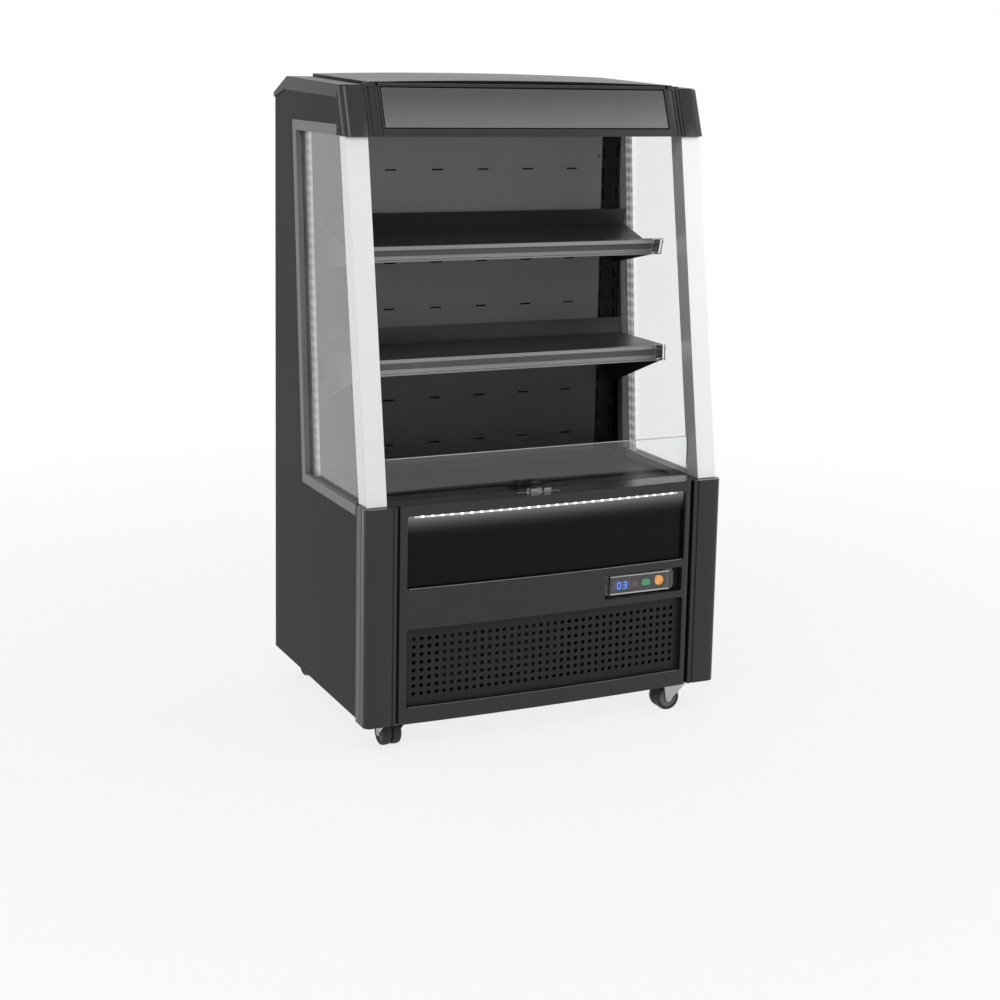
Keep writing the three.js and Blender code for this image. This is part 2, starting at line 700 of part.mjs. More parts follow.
function canopyCorner() {
  const depth = 20;
  const plan = cornerPlan({
    inner: headerHalf,
    depth,
    flutes: [
      [headerHalf + 6.3, 8, FLUTE_DEPTH],
      [headerHalf + 18.3, 4, FLUTE_DEPTH + 1],
      [headerHalf + 26.3, 3, FLUTE_DEPTH],
    ],
    sideFlute: 0,
  });
  const body = canopyPrism(plan, CANOPY_BOTTOM, canopyTop - 2);
  const humpPlan = rectangle(headerHalf + 4, headerHalf + 28, 0, 8);
  const hump = canopyPrism(humpPlan, canopyTop - 3, canopyTop + HEADER_LIP);
  const front = FLUTE_DEPTH + 1 + SHELL_WALL;
  const hollowOutline = rectangle(headerHalf + SHELL_WALL, panelIn - 2, front, depth + 1);
  const hollow = canopyPrism(hollowOutline, CANOPY_BOTTOM - 1, canopyTop - 2 - SHELL_WALL);
  const cheek = [
    [cheekFront(CANOPY_BOTTOM - 5) - FIT, CANOPY_BOTTOM - 5],
    [DEPTH, CANOPY_BOTTOM - 5],
    [DEPTH, canopyTop + 20],
    [cheekFront(canopyTop + 20) - FIT, canopyTop + 20],
  ];
  const panelRoom = along(cheek, "x", panelIn - FIT, panelOut + FIT);
  const roofRoom = block([0, half + 1], [ROOF_FRONT - FIT, DEPTH], [canopyTop - 2, canopyTop + 20]);
  return cut(join(body, hump), hollow, panelRoom, roofRoom);
}

// ---------------------------------------------------------------- front fascia

function fasciaPlan() {
  const straight = fasciaHalf - FASCIA_RADIUS;
  const shape = new THREE.Shape();
  const edge = bowedEdge(straight, FASCIA_BOW, 0);
  shape.moveTo(-fasciaHalf, FASCIA_REAR);
  shape.lineTo(-fasciaHalf, FASCIA_RADIUS);
  shape.absarc(-straight, FASCIA_RADIUS, FASCIA_RADIUS, Math.PI, Math.PI * 1.5, false);
  edge.slice(1, -1).forEach(([x, y]) => shape.lineTo(x, y));
  shape.absarc(straight, FASCIA_RADIUS, FASCIA_RADIUS, -Math.PI / 2, 0, false);
  shape.lineTo(fasciaHalf, FASCIA_REAR);
  return shape;
}

const controlRight = recessHalf - CONTROL_RIGHT_BORDER;

function frontFascia() {
  const body = along(fasciaPlan(), "z", BODY_BOTTOM, FASCIA_CREST);
  const window = (a0, a1, b0, b1) =>
    along(roundedRectangle(a0, a1, b0, b1, WINDOW_RADIUS), "y", -30, FASCIA_REAR + 1);
  const pocket = (a0, a1, b0, b1) => block([a0, a1], [SHELL_WALL, FASCIA_REAR + 1], [b0, b1]);
  const rib = SHELL_WALL;
  return cut(
    body,
    window(-recessHalf, recessHalf, DISPLAY_BOTTOM, DISPLAY_TOP),
    window(-recessHalf, recessHalf, GRILLE_BOTTOM, GRILLE_TOP),
    window(CONTROL_LEFT, controlRight, CONTROL_BOTTOM, CONTROL_TOP),
    pocket(-recessHalf, CONTROL_LEFT - rib, GRILLE_TOP + rib, DISPLAY_BOTTOM - rib),
    pocket(-recessHalf, recessHalf, BODY_BOTTOM + rib, GRILLE_BOTTOM - rib),
  );
}

// A bowed sheet with the rounded corners of the window that it sits in.
function roundedInWindow(plan, reach, z0, z1) {
  const outline = roundedRectangle(-reach, reach, z0, z1, WINDOW_RADIUS);
  return along(plan, "z", z0, z1).intersect(along(outline, "y", -30, FASCIA_REAR + 10));
}

function displayPanel() {
  const reach = recessHalf - FIT;
  const plan = bowedSheet(reach, FASCIA_BOW, DISPLAY_SETBACK, DISPLAY_SHEET);
  return roundedInWindow(plan, reach, DISPLAY_BOTTOM + FIT, DISPLAY_TOP - FIT);
}

// Lamps under the top edge of the display recess, on a strip that follows the bow.
function frontLightStrip() {
  const reach = recessHalf - 16;
  const z1 = DISPLAY_TOP - FIT;
  const bowHalf = recessHalf - FIT;
  const bowAt = (x) => DISPLAY_SETBACK - FIT - FASCIA_BOW * (1 - (x / bowHalf) ** 2);
  const front = DISPLAY_SETBACK - FIT - STRIP_BOARD - 0.3;
  const carrier = along(bowedSheet(reach, FASCIA_BOW, front, STRIP_BOARD, bowHalf), "z", z1 - 5, z1);
  const count = Math.floor((2 * reach - 20) / LED_PITCH) + 1;
  const first = (-(count - 1) * LED_PITCH) / 2;
  const lamps = Array.from({ length: count }, (_, i) => {
    const x = first + i * LED_PITCH;
    const y = bowAt(x) - STRIP_BOARD;
    return block([x - 2.5, x + 2.5], [y - 1.8, y + 0.5], [z1 - 4.4, z1 - 0.8]);
  });
  return join(carrier, ...lamps);
}

// Perforated sheet on the same bow as the fascia, set back in its recess.
function ventGrille() {
  const reach = recessHalf - FIT;
  const z0 = GRILLE_BOTTOM + FIT;
  const z1 = GRILLE_TOP - FIT;
  const sheet = roundedInWindow(bowedSheet(reach, FASCIA_BOW, GRILLE_SETBACK, GRILLE_SHEET), reach, z0, z1);
  const columns = 1 + 2 * Math.floor((reach - HOLE_MARGIN_X) / HOLE_PITCH_X);
  const rows = 1 + Math.floor((z1 - z0 - 2 * HOLE_MARGIN_Z + HOLE_DIAMETER) / HOLE_PITCH_Z);
  const middle = (z0 + z1) / 2;
  const holes = [];
  for (let column = 0; column < columns; column += 1) {
    for (let row = 0; row < rows; row += 1) {
      const x = (column - (columns - 1) / 2) * HOLE_PITCH_X;
      const z = middle + (row - (rows - 1) / 2) * HOLE_PITCH_Z;
      holes.push(rod("y", [x, z], HOLE_DIAMETER / 2, 0, GRILLE_SETBACK + GRILLE_SHEET + 1, HOLE_SIDES));
    }
  }
  return cut(sheet, join(...holes));
}

// ---------------------------------------------------------------- controls

const plateFront = FASCIA_REAR - PLATE_THICK - FIT;
const pivotY = plateFront + 3;

const controlHole = ({ x, z, width, height }, clear) => ({
  x: [x - width / 2 - clear, x + width / 2 + clear],
  z: [z - height / 2 - clear, z + height / 2 + clear],
});

function controlPlate() {
  const outline = roundedRectangle(
    CONTROL_LEFT + FIT,
    controlRight - FIT,
    CONTROL_BOTTOM + FIT,
    CONTROL_TOP - FIT,
    5,
  );
  const rear = plateFront + PLATE_THICK;
  let plate = along(outline, "y", plateFront, rear);
  for (const control of [DISPLAY_MODULE, GREEN_ROCKER, AMBER_ROCKER]) {
    const hole = controlHole(control, control === DISPLAY_MODULE ? FIT : ROCKER_TRAVEL_GAP);
    const wall = ([low, high]) => [low - COLLAR_WALL, high + COLLAR_WALL];
    plate = plate.add(block(wall(hole.x), [rear - 1, rear + COLLAR_DEPTH], wall(hole.z)));
  }
  for (const control of [DISPLAY_MODULE, GREEN_ROCKER, AMBER_ROCKER]) {
    const hole = controlHole(control, control === DISPLAY_MODULE ? FIT : ROCKER_TRAVEL_GAP);
    plate = plate.subtract(block(hole.x, [plateFront - 1, rear + COLLAR_DEPTH + 1], hole.z));
  }
  for (const { x, z, height } of [GREEN_ROCKER, AMBER_ROCKER]) {
    const reach = height / 2 + ROCKER_TRAVEL_GAP + COLLAR_WALL + 1;
    plate = plate.subtract(rod("z", [x, pivotY], 1.2 + FIT, z - reach, z + reach, 8));
  }
  return plate;
}

function displayModule() {
  const hole = controlHole(DISPLAY_MODULE, 0);
  return block(hole.x, [plateFront - 1, plateFront + PLATE_THICK + COLLAR_DEPTH], hole.z);
}

// Rocker with a dished face, resting at one end of its travel, on a pin that runs into the collar.
function rocker({ x, z, width, height }) {
  const side = width / 2;
  const outline = [
    [x - side, pivotY - 4.2],
    [x, pivotY - 3],
    [x + side, pivotY - 4.2],
    [x + side - 0.6, pivotY + 2],
    [x + side * 0.5, pivotY + 5],
    [x - side * 0.5, pivotY + 5],
    [x - side + 0.6, pivotY + 2],
  ];
  const body = extrusion(outline, "z", z - height / 2, z + height / 2);
  body.translate(-x, -pivotY, 0);
  body.rotateZ(THREE.MathUtils.degToRad(ROCKER_REST));
  body.translate(x, pivotY, 0);
  const reach = height / 2 + ROCKER_TRAVEL_GAP + COLLAR_WALL - FIT;
  return join(solid(body), rod("z", [x, pivotY], 1.2, z - reach, z + reach, 8));
}

function clearCover() {
  const middle = (CONTROL_BOTTOM + CONTROL_TOP) / 2;
  const left = COVER_LEFT;
  const right = COVER_LEFT + COVER_WIDTH;
  const low = middle - COVER_HEIGHT / 2;
  const high = middle + COVER_HEIGHT / 2;
  const rear = plateFront - FIT;
  const coarse = { curveSegments: 2 };
  const rounded = (inset, rise, radius, y0, y1) => {
    const outline = roundedRectangle(left + inset, right - inset, low + rise, high - rise, radius);
    return along(outline, "y", y0, y1, coarse);
  };
  const base = rounded(0, 0, 9, rear - 2, rear);
  const dome = rounded(13, 3, 6, rear - COVER_DEPTH, rear);
  const hollow = rounded(13 + COVER_WALL, 3 + COVER_WALL, 5, rear - COVER_DEPTH + COVER_WALL, rear + 1);
  const screws = [left + 7, right - 7].map((x) => rod("y", [x, middle], 2.6, rear - 3.2, rear - 1, 8));
  return cut(join(base, dome, ...screws), hollow);
}

// ---------------------------------------------------------------- cold compartment

function frontSill() {
  const front = FASCIA_REAR + FIT;
  const channelFront = RISER_Y - RISER_THICK / 2 - FIT - 2;
  const channelRear = RISER_Y + RISER_THICK / 2 + FIT + 2;
  const bottom = RISER_FOOT - FIT - 2;
  const top = [
    [front, PLINTH_TOP - 30],
    [front + SHEET, PLINTH_TOP - 30],
    [front + SHEET, PLINTH_TOP - 2],
    [channelFront + 1, PLINTH_TOP - 2],
    [channelFront + 1, PLINTH_TOP],
    [front, PLINTH_TOP],
  ];
  const channel = [
    [channelFront, bottom],
    [channelRear, bottom],
    [channelRear, PLINTH_TOP],
    [channelRear - 2, PLINTH_TOP],
    [channelRear - 2, bottom + 2],
    [channelFront + 2, bottom + 2],
    [channelFront + 2, PLINTH_TOP],
    [channelFront, PLINTH_TOP],
  ];
  const width = postIn - FIT;
  return join(along(top, "x", -width, width), along(channel, "x", -RISER_HALF - 1, RISER_HALF + 1));
}

const deckFront = RISER_Y + RISER_THICK / 2 + 2 + 2 * FIT;

function deckPan() {
  const rear = ductY - FIT;
  const step = rear - 7;
  const under = DECK_TOP - SHEET;
  const profile = [
    [deckFront, TUB_FLOOR_TOP + FIT],
    [deckFront + SHEET, TUB_FLOOR_TOP + FIT],
    [deckFront + SHEET, under],
    [step + SHEET, under],
    [step + SHEET, PLINTH_TOP - FIT - SHEET],
    [rear, PLINTH_TOP - FIT - SHEET],
    [rear, PLINTH_TOP - FIT],
    [step, PLINTH_TOP - FIT],
    [step, DECK_TOP],
    [deckFront, DECK_TOP],
  ];
  const reach = innerHalf;
  return along(profile, "x", -reach, reach);
}

const throughDuct = [ductY - 1, ductY + SHEET + 1];

function ductPanel() {
  const z0 = PLINTH_TOP;
  const z1 = ceilingBottom - FIT;
  const sheet = block([-DUCT_HALF, DUCT_HALF], [ductY, ductY + SHEET], [z0, z1]);
  const rows = 1 + Math.floor((z1 - 40 - AIR_SLOT_FIRST_Z) / AIR_SLOT_PITCH_Z);
  const slots = [];
  for (let column = 0; column < AIR_SLOT_COLUMNS; column += 1) {
    for (let row = 0; row < rows; row += 1) {
      const x = (column - (AIR_SLOT_COLUMNS - 1) / 2) * AIR_SLOT_PITCH_X;
      const z = AIR_SLOT_FIRST_Z + row * AIR_SLOT_PITCH_Z;
      const width = [x - AIR_SLOT_LENGTH / 2, x + AIR_SLOT_LENGTH / 2];
      slots.push(block(width, throughDuct, [z - AIR_SLOT_HEIGHT / 2, z + AIR_SLOT_HEIGHT / 2]));
    }
  }
  return cut(sheet, join(...slots));
}

// A sheet across Y with a column of upright slots.
function slottedSheet(xRange, yRange, zRange, slotX) {
  const count = Math.floor((zRange[1] - PLINTH_TOP - UPRIGHT_SLOT_LENGTH) / UPRIGHT_SLOT_PITCH);
  const width = [slotX - UPRIGHT_SLOT_WIDTH / 2, slotX + UPRIGHT_SLOT_WIDTH / 2];
  const slots = Array.from({ length: count }, (_, i) => {
    const z = PLINTH_TOP + UPRIGHT_SLOT_LENGTH + i * UPRIGHT_SLOT_PITCH;
    return block(width, [yRange[0] - 1, yRange[1] + 1], [z, z + UPRIGHT_SLOT_LENGTH]);
  });
  return cut(block(xRange, yRange, zRange), join(...slots));
}

// Folded upright: a face flush with the duct panel, a web to the rear and a slotted hook flange.
function shelfUpright() {
  const z0 = TUB_FLOOR_TOP + FIT;
  const z1 = ceilingBottom - FIT;
  const faceIn = DUCT_HALF + FIT;
  const faceOut = faceIn + UPRIGHT_FACE;
  const slotX = faceIn + UPRIGHT_FACE / 2 - 1;
  const face = slottedSheet([faceIn, faceOut], [ductY, ductY + SHEET], [z0, z1], slotX);
  const web = block([faceOut - SHEET, faceOut], [ductY, hookY], [z0, z1]);
  const flangeOut = faceOut + UPRIGHT_FLANGE;
  const flange = slottedSheet([faceOut - SHEET, flangeOut], [hookY - SHEET, hookY], [z0, z1], HOOK_X);
  return join(face, web, flange);
}

// ---------------------------------------------------------------- shelves

// Shelf sizes run forward from the hooks, in the shelf's own tilted frame.
function shelfTray({ depth, railRise }) {
  const front = -depth + RAIL_DEPTH + FIT;
  const rear = -SHELF_REAR_GAP;
  const lipTop = Math.max(railRise - 2, 0);
  const lipBottom = railRise > 0 ? -SHELF_SHEET : -RAIL_HEIGHT + 6;
  const sheet = [
    [front, -SHELF_SHEET],
    [rear, -SHELF_SHEET],
    [rear, SHELF_UPSTAND],
    [rear - SHELF_SHEET, SHELF_UPSTAND],
    [rear - SHELF_SHEET, 0],
    [front, 0],
  ];
  const lip = rectangle(front, front + SHELF_SHEET, lipBottom, lipTop);
  return join(along(sheet, "x", -SHELF_HALF, SHELF_HALF), along(lip, "x", -SHELF_HALF, SHELF_HALF));
}

// Tapered bracket that stands against the slotted flange of the upright.
function shelfBracket({ depth, drop, tip, tilt }) {
  const front = -depth + RAIL_DEPTH + SHELF_SHEET + 2 * FIT;
  const top = -SHELF_SHEET - FIT;
  const angle = THREE.MathUtils.degToRad(tilt);
  const rear = -SHEET - FIT - drop * Math.sin(angle) * 0.5;
  const rearAt = (z) => -SHEET - FIT + z * Math.tan(angle);
  const plate = [
    [front, top],
    [Math.min(rearAt(top), rear), top],
    [rearAt(-drop), -drop],
    [front, -Math.max(tip, 4)],
  ];
  return along(plate, "x", HOOK_X - BRACKET_SHEET / 2, HOOK_X + BRACKET_SHEET / 2);
}

// Ticket rail: bevelled top band, recessed label bed and a bright lower lip.
function ticketRail({ depth, railRise }) {
  const rear = -depth + RAIL_DEPTH;
  const top = railRise;
  const bottom = railRise - RAIL_HEIGHT;
  const profile = [
    [rear, bottom],
    [rear, top],
    [rear - 3, top],
    [rear - RAIL_DEPTH, top - 8],
    [rear - RAIL_DEPTH + 2, top - 9],
    [rear - RAIL_DEPTH + 2, bottom + 4],
    [rear - RAIL_DEPTH, bottom + 3],
    [rear - RAIL_DEPTH, bottom],
  ];
  return along(profile, "x", -SHELF_HALF - RAIL_END, SHELF_HALF + RAIL_END);
}

function addShelf(name, shelf) {
  const frame = new THREE.Group();
  frame.position.set(0, hookY, shelf.z);
  frame.rotation.x = THREE.MathUtils.degToRad(shelf.tilt);
  fridge.add(frame);
  piece(`shelf_${name}`, shelfTray(shelf), "blackSheet", frame);
  piece(`ticket_rail_${name}`, ticketRail(shelf), "aluminium", frame);
  pair(`bracket_${name}`, shelfBracket(shelf), "blackSheet", frame);
}

// ---------------------------------------------------------------- refrigeration

function baseChassis() {
  const z0 = BODY_BOTTOM;
  const z1 = z0 + 2;
  const front = FASCIA_REAR + FIT;
  const rear = DEPTH - 2 - FIT;
  const betweenPosts = postIn - FIT;
  const wideFrom = POST_DEPTH + FIT;
  let tray = join(
    block([-betweenPosts, betweenPosts], [front, wideFrom + 1], [z0, z1]),
    block([-innerHalf, innerHalf], [wideFrom, rear], [z0, z1]),
    block([-betweenPosts, betweenPosts], [front, front + 2], [z0, z0 + 22]),
    block([-innerHalf + 16, innerHalf - 16], [rear - 2, rear], [z0, z0 + 22]),
    block([innerHalf - 2, innerHalf], [wideFrom, rear - 16], [z0, z0 + 22]),
    block([-innerHalf, -innerHalf + 2], [wideFrom, rear - 16], [z0, z0 + 22]),
  );
  for (const [x, y] of casterPlaces) {
    const side = CASTER_PLATE / 2;
    const plate = block([x - side, x + side], [y - side, y + side], [plateBottom, z0 + 0.5]);
    const room = [
      block([postIn - FIT, half], [-20, POST_DEPTH + FIT], [BODY_BOTTOM - FIT, PLINTH_TOP]),
      block([-half, -postIn + FIT], [-20, POST_DEPTH + FIT], [BODY_BOTTOM - FIT, PLINTH_TOP]),
      block([-half, half], [-20, FASCIA_REAR + FIT], [BODY_BOTTOM - FIT, PLINTH_TOP]),
    ];
    const hole = rod("z", [x, y], KINGPIN_RADIUS + FIT, plateBottom - 1, z1 + 1, 12);
    tray = cut(join(tray, cut(plate, ...room)), hole);
  }
  return tray;
}

// Fins across a block, with end plates and return bends.
function coil(x, y, z, width, thick, height) {
  const x0 = x - width / 2;
  const y0 = y - thick / 2;
  let core = block([x0, x0 + width], [y0 + 4, y0 + thick - 4], [z, z + height]);
  const grooves = Math.floor(width / COIL_FIN_PITCH) - 1;
  for (let i = 1; i <= grooves; i += 1) {
    const at = x0 + (width * i) / (grooves + 1);
    core = core.subtract(block([at - 3, at + 3], [y0 + 3, y0 + 10], [z - 1, z + height + 1]));
  }
  const plates = [x0, x0 + width - 2].map((at) => block([at, at + 2], [y0, y0 + thick], [z, z + height]));
  return join(core, ...plates);
}

// Bladed wheel about the Y axis, with a bore for its shaft.
function fanWheel([x, y, z], radius) {
  const hubRadius = radius * 0.3;
  let wheel = rod("y", [x, z], hubRadius, y - 9, y + 9, 12);
  const blades = 5;
  for (let i = 0; i < blades; i += 1) {
    const blade = new THREE.Shape();
    blade.moveTo(-radius * 0.14, hubRadius - 3);
    blade.lineTo(-radius * 0.32, radius * 0.93);
    blade.lineTo(0, radius);
    blade.lineTo(radius * 0.32, radius * 0.93);
    blade.lineTo(radius * 0.14, hubRadius - 3);
    const geometry = extrusion(blade, "y", -0.9, 0.9);
    geometry.rotateZ(THREE.MathUtils.degToRad(24));
    geometry.rotateY((i * 2 * Math.PI) / blades);
    geometry.translate(x, y, z);
    wheel = wheel.add(solid(geometry));
  }
  return wheel.subtract(rod("y", [x, z], SHAFT_RADIUS + FIT, y - 20, y + 20, 8));
}

const condenserFloor = BODY_BOTTOM + 2 + FIT;
const condenserMiddle = condenserFloor + CONDENSER_HEIGHT / 2;
const shroudRear = CONDENSER_Y + CONDENSER_THICK / 2 + 48;
const condenserFanAt = [CONDENSER_X, shroudRear - 16, condenserMiddle];

function condenser() {
  const wide = CONDENSER_WIDTH;
  const tall = CONDENSER_HEIGHT;
  const coilRear = CONDENSER_Y + CONDENSER_THICK / 2;
  const body = coil(CONDENSER_X, CONDENSER_Y, condenserFloor, wide, CONDENSER_THICK, tall);
  const span = (inset) => [CONDENSER_X - wide / 2 + inset, CONDENSER_X + wide / 2 - inset];
  const rise = (inset) => [condenserFloor + inset, condenserFloor + tall - inset];
  const shroud = block(span(0), [coilRear - 5, shroudRear], rise(0));
  const inside = block(span(2), [coilRear - 1, shroudRear - 26], rise(2));
  const throat = rod("y", [CONDENSER_X, condenserMiddle], FAN_RADIUS + 4, coilRear - 1, shroudRear + 1, 20);
  const arm = (angle) => {
    const geometry = extrusion(rectangle(0, FAN_RADIUS + 12, -4, 4), "y", shroudRear - 2, shroudRear + 4);
    geometry.rotateY(angle);
    geometry.translate(CONDENSER_X, 0, condenserMiddle);
    return solid(geometry);
  };
  const motor = rod("y", [CONDENSER_X, condenserMiddle], 24, shroudRear - 2, shroudRear + 38, 14);
  const shaft = rod("y", [CONDENSER_X, condenserMiddle], SHAFT_RADIUS, shroudRear - 28, shroudRear, 8);
  const arms = [0.25, 0.75, 1.25, 1.75].map((turn) => arm(turn * Math.PI));
  return join(body, cut(shroud, inside, throat), ...arms, motor, shaft);
}

// Hermetic pot on its foot plate, with a terminal box and pipe stubs.
function compressor() {
  const x = 150;
  const y = 300;
  const z = BODY_BOTTOM + 2 + FIT;
  const r = COMPRESSOR_RADIUS;
  const h = COMPRESSOR_HEIGHT;
  const profile = [
    [0, 0], [r * 0.72, 0], [r, 24],
    [r, h - 52], [r * 0.9, h - 24], [r * 0.55, h - 6], [0, h],
  ];
  const pot = new THREE.LatheGeometry(profile.map(([a, b]) => new THREE.Vector2(a, b)), 14);
  pot.rotateX(Math.PI / 2).translate(x, y, z + 12);
  const seam = rod("z", [x, y], r + 3, z + 12 + h * 0.5, z + 15 + h * 0.5, 14);
  const foot = block([x - r - 22, x + r + 22], [y - r + 12, y + r - 12], [z + 10, z + 14]);
  const grommets = [-1, 1].flatMap((sx) =>
    [-1, 1].map((sy) => rod("z", [x + sx * (r + 12), y + sy * (r - 24)], 8, z, z + 20, 6)),
  );
  const terminals = block([x + r - 10, x + r + 16], [y - 20, y + 20], [z + 60, z + 105]);
  const stubs = [-18, 12].map((dy) => rod("x", [y + dy, z + 40 + dy], 4, x - r - 26, x - r + 12, 6));
  return join(solid(pot), seam, foot, terminals, ...grommets, ...stubs);
}

const evaporatorY = (hookY + rearInner) / 2;
const evaporatorFanAt = [0, evaporatorY, TUB_FLOOR_TOP + 6 + EVAPORATOR_HEIGHT + 80];

function evaporator() {
  const z = TUB_FLOOR_TOP + FIT;
  const wide = EVAPORATOR_WIDTH / 2;
  const core = coil(0, evaporatorY, z + 6, EVAPORATOR_WIDTH, EVAPORATOR_THICK, EVAPORATOR_HEIGHT);
  const tray = block([-wide, wide], [evaporatorY - 33, evaporatorY + 33], [z, z + 8]);
  const [, fanY, fanZ] = evaporatorFanAt;
  const radius = EVAPORATOR_FAN_RADIUS;
  const plateTop = fanZ + radius + 22;
  const plate = block([-wide, wide], [fanY + 14, fanY + 17], [z + EVAPORATOR_HEIGHT, plateTop]);
  const throat = rod("y", [0, fanZ], radius + 4, fanY, fanY + 30, 18);
  const arm = block([-radius - 10, radius + 10], [fanY + 14, fanY + 20], [fanZ - 4, fanZ + 4]);
  const motor = rod("y", [0, fanZ], 18, fanY + 14, fanY + 40, 12);
  const shaft = rod("y", [0, fanZ], SHAFT_RADIUS, fanY - 12, fanY + 16, 8);
  return join(core, tray, cut(plate, throat), arm, motor, shaft);
}

// ---------------------------------------------------------------- catch and casters

// Steel plate on the sill with two raised tabs, two stop blocks and a side finger.
function sillCatch() {
  const z = PLINTH_TOP + FIT;
  const front = FASCIA_REAR + 1;
  const plate = block([-45, 25], [front, front + 14], [z, z + 1.5]);
  const tabs = [-30, -2].map((x) => block([x - 7, x + 7], [front, front + 3], [z, z + 9]));
  const stops = [-38, -16].map((x) => block([x - 5, x + 5], [front + 6, front + 14], [z, z + 8]));
  const finger = block([-62, -40], [front + 8, front + 11], [z, z + 2]);
  return join(plate, ...tabs, ...stops, finger);
}

const wheelRadius = WHEEL_DIAMETER / 2;
const crownBottom = WHEEL_DIAMETER + 1;
const crownTop = crownBottom + FORK_SHEET;
const plateBottom = crownTop + FIT;
const casterPlaces = [
  [-CASTER_X, CASTER_FRONT_Y],
  [CASTER_X, CASTER_FRONT_Y],
  [-CASTER_X, DEPTH - CASTER_REAR_INSET],
  [CASTER_X, DEPTH - CASTER_REAR_INSET],
];

// Fork in its own frame: kingpin on the Z axis, wheel trailing along +Y.
function casterFork() {
  const crown = block([-20, 20], [-14, 18], [crownBottom, crownTop]);
  const legShape = new THREE.Shape();
  legShape.moveTo(-14, crownTop);
  legShape.lineTo(CASTER_TRAIL - 7, wheelRadius);
  legShape.absarc(CASTER_TRAIL, wheelRadius, 7, Math.PI, Math.PI * 2, false);
  legShape.lineTo(CASTER_TRAIL + 12, crownTop);
  const inner = WHEEL_WIDTH / 2 + 0.6;
  const legs = [inner, -inner - FORK_SHEET].map((x) => along(legShape, "x", x, x + FORK_SHEET));
  const bridge = block([-inner - FORK_SHEET, inner + FORK_SHEET], [-14, 18], [crownBottom, crownTop]);
  const axleReach = inner + FORK_SHEET + 1.5;
  const axle = rod("x", [CASTER_TRAIL, wheelRadius], AXLE_RADIUS, -axleReach, axleReach, 10);
  const pin = rod("z", [0, 0], KINGPIN_RADIUS, crownBottom, BODY_BOTTOM + 4, 12);
  return join(crown, bridge, ...legs, axle, pin);
}

// Twin-tread wheel turned about X, with a dished hub on both sides.
function casterWheel() {
  const w = WHEEL_WIDTH / 2;
  const bore = AXLE_RADIUS + FIT;
  const g = TREAD_GAP / 2;
  const profile = [
    [bore, -w + 3], [17, -w + 3], [19, -w], [wheelRadius, -w + 3],
    [wheelRadius, -g - 2], [17, -g], [17, g], [wheelRadius, g + 2],
    [wheelRadius, w - 3], [19, w], [17, w - 3], [bore, w - 3], [bore, -w + 3],
  ];
  const geometry = new THREE.LatheGeometry(profile.map(([r, a]) => new THREE.Vector2(r, a)), 16);
  geometry.rotateZ(-Math.PI / 2).translate(0, CASTER_TRAIL, wheelRadius);
  return solid(geometry);
}

function addCaster(name, [x, y], heading) {
  const frame = new THREE.Group();
  frame.position.set(x, y, 0);
  frame.rotation.z = THREE.MathUtils.degToRad(heading);
  fridge.add(frame);
  piece(`caster_fork_${name}`, casterFork(), "zinc", frame);
  piece(`caster_wheel_${name}`, casterWheel(), "tyre", frame);
}

// ---------------------------------------------------------------- assembly

function frontGlass() {
  const y = [RISER_Y - RISER_THICK / 2, RISER_Y + RISER_THICK / 2];
  return block([-RISER_HALF, RISER_HALF], y, [RISER_FOOT, RISER_TOP]);
}

pair("side_panel", sidePanel(), "blackSheet");
pair("window_frame", windowFrame(), "grey");
pair("side_glass", sideGlass(), "glass");
pair("front_pillar", frontPillar(), "aluminium");
pair("side_light_strip", sideLightStrip(), "aluminium");
pair("corner_post", cornerPost(), "blackMoulding");
pair("canopy_corner", canopyCorner(), "blackMoulding");
pair("shelf_upright", shelfUpright(), "blackSheet");
piece("rear_panel", rearPanel(), "blackSheet");
piece("service_cover", serviceCover(), "blackSheet");
piece("cold_tub", coldTub(), "blackSheet");
piece("ceiling_panel", ceilingPanel(), "blackSheet");
piece("roof_cap", roofCap(), "blackSheet");
piece("hood_cover", hoodCover(), "gloss");
piece("canopy_header", canopyHeader(), "blackMoulding");
piece("header_panel", headerPanel(), "gloss");
piece("front_fascia", frontFascia(), "blackMoulding");
piece("display_panel", displayPanel(), "gloss");
piece("front_light_strip", frontLightStrip(), "light");
piece("vent_grille", ventGrille(), "blackSheet");
piece("control_plate", controlPlate(), "blackMoulding");
piece("display_module", displayModule(), "blue");
piece("green_rocker", rocker(GREEN_ROCKER), "green");
piece("amber_rocker", rocker(AMBER_ROCKER), "amber");
piece("clear_cover", clearCover(), "glass");
piece("front_sill", frontSill(), "blackMoulding");
piece("front_glass", frontGlass(), "glass");
piece("sill_catch", sillCatch(), "zinc");
piece("deck_pan", deckPan(), "blackSheet");
piece("duct_panel", ductPanel(), "blackSheet");
piece("base_chassis", baseChassis(), "galvanised");
piece("compressor", compressor(), "blackMoulding");
piece("condenser", condenser(), "galvanised");
piece("condenser_fan", fanWheel(condenserFanAt, FAN_RADIUS), "galvanised");
piece("evaporator", evaporator(), "galvanised");
piece("evaporator_fan", fanWheel(evaporatorFanAt, EVAPORATOR_FAN_RADIUS), "blackMoulding");
addShelf("lower", LOWER_SHELF);
addShelf("upper", UPPER_SHELF);
addCaster("front_left", casterPlaces[0], 0);
addCaster("front_right", casterPlaces[1], 90);
addCaster("rear_left", casterPlaces[2], 0);
addCaster("rear_right", casterPlaces[3], 0);

export default fridge;
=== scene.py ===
# Looks of the open multideck display fridge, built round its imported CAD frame.
# Sizes are in millimetres with Y = 0 on the front face of the corner posts, as in the CAD
# source. at() turns them into the shared frame, in metres.
import json
import math

import bmesh
import bpy
from mathutils import Matrix, Vector

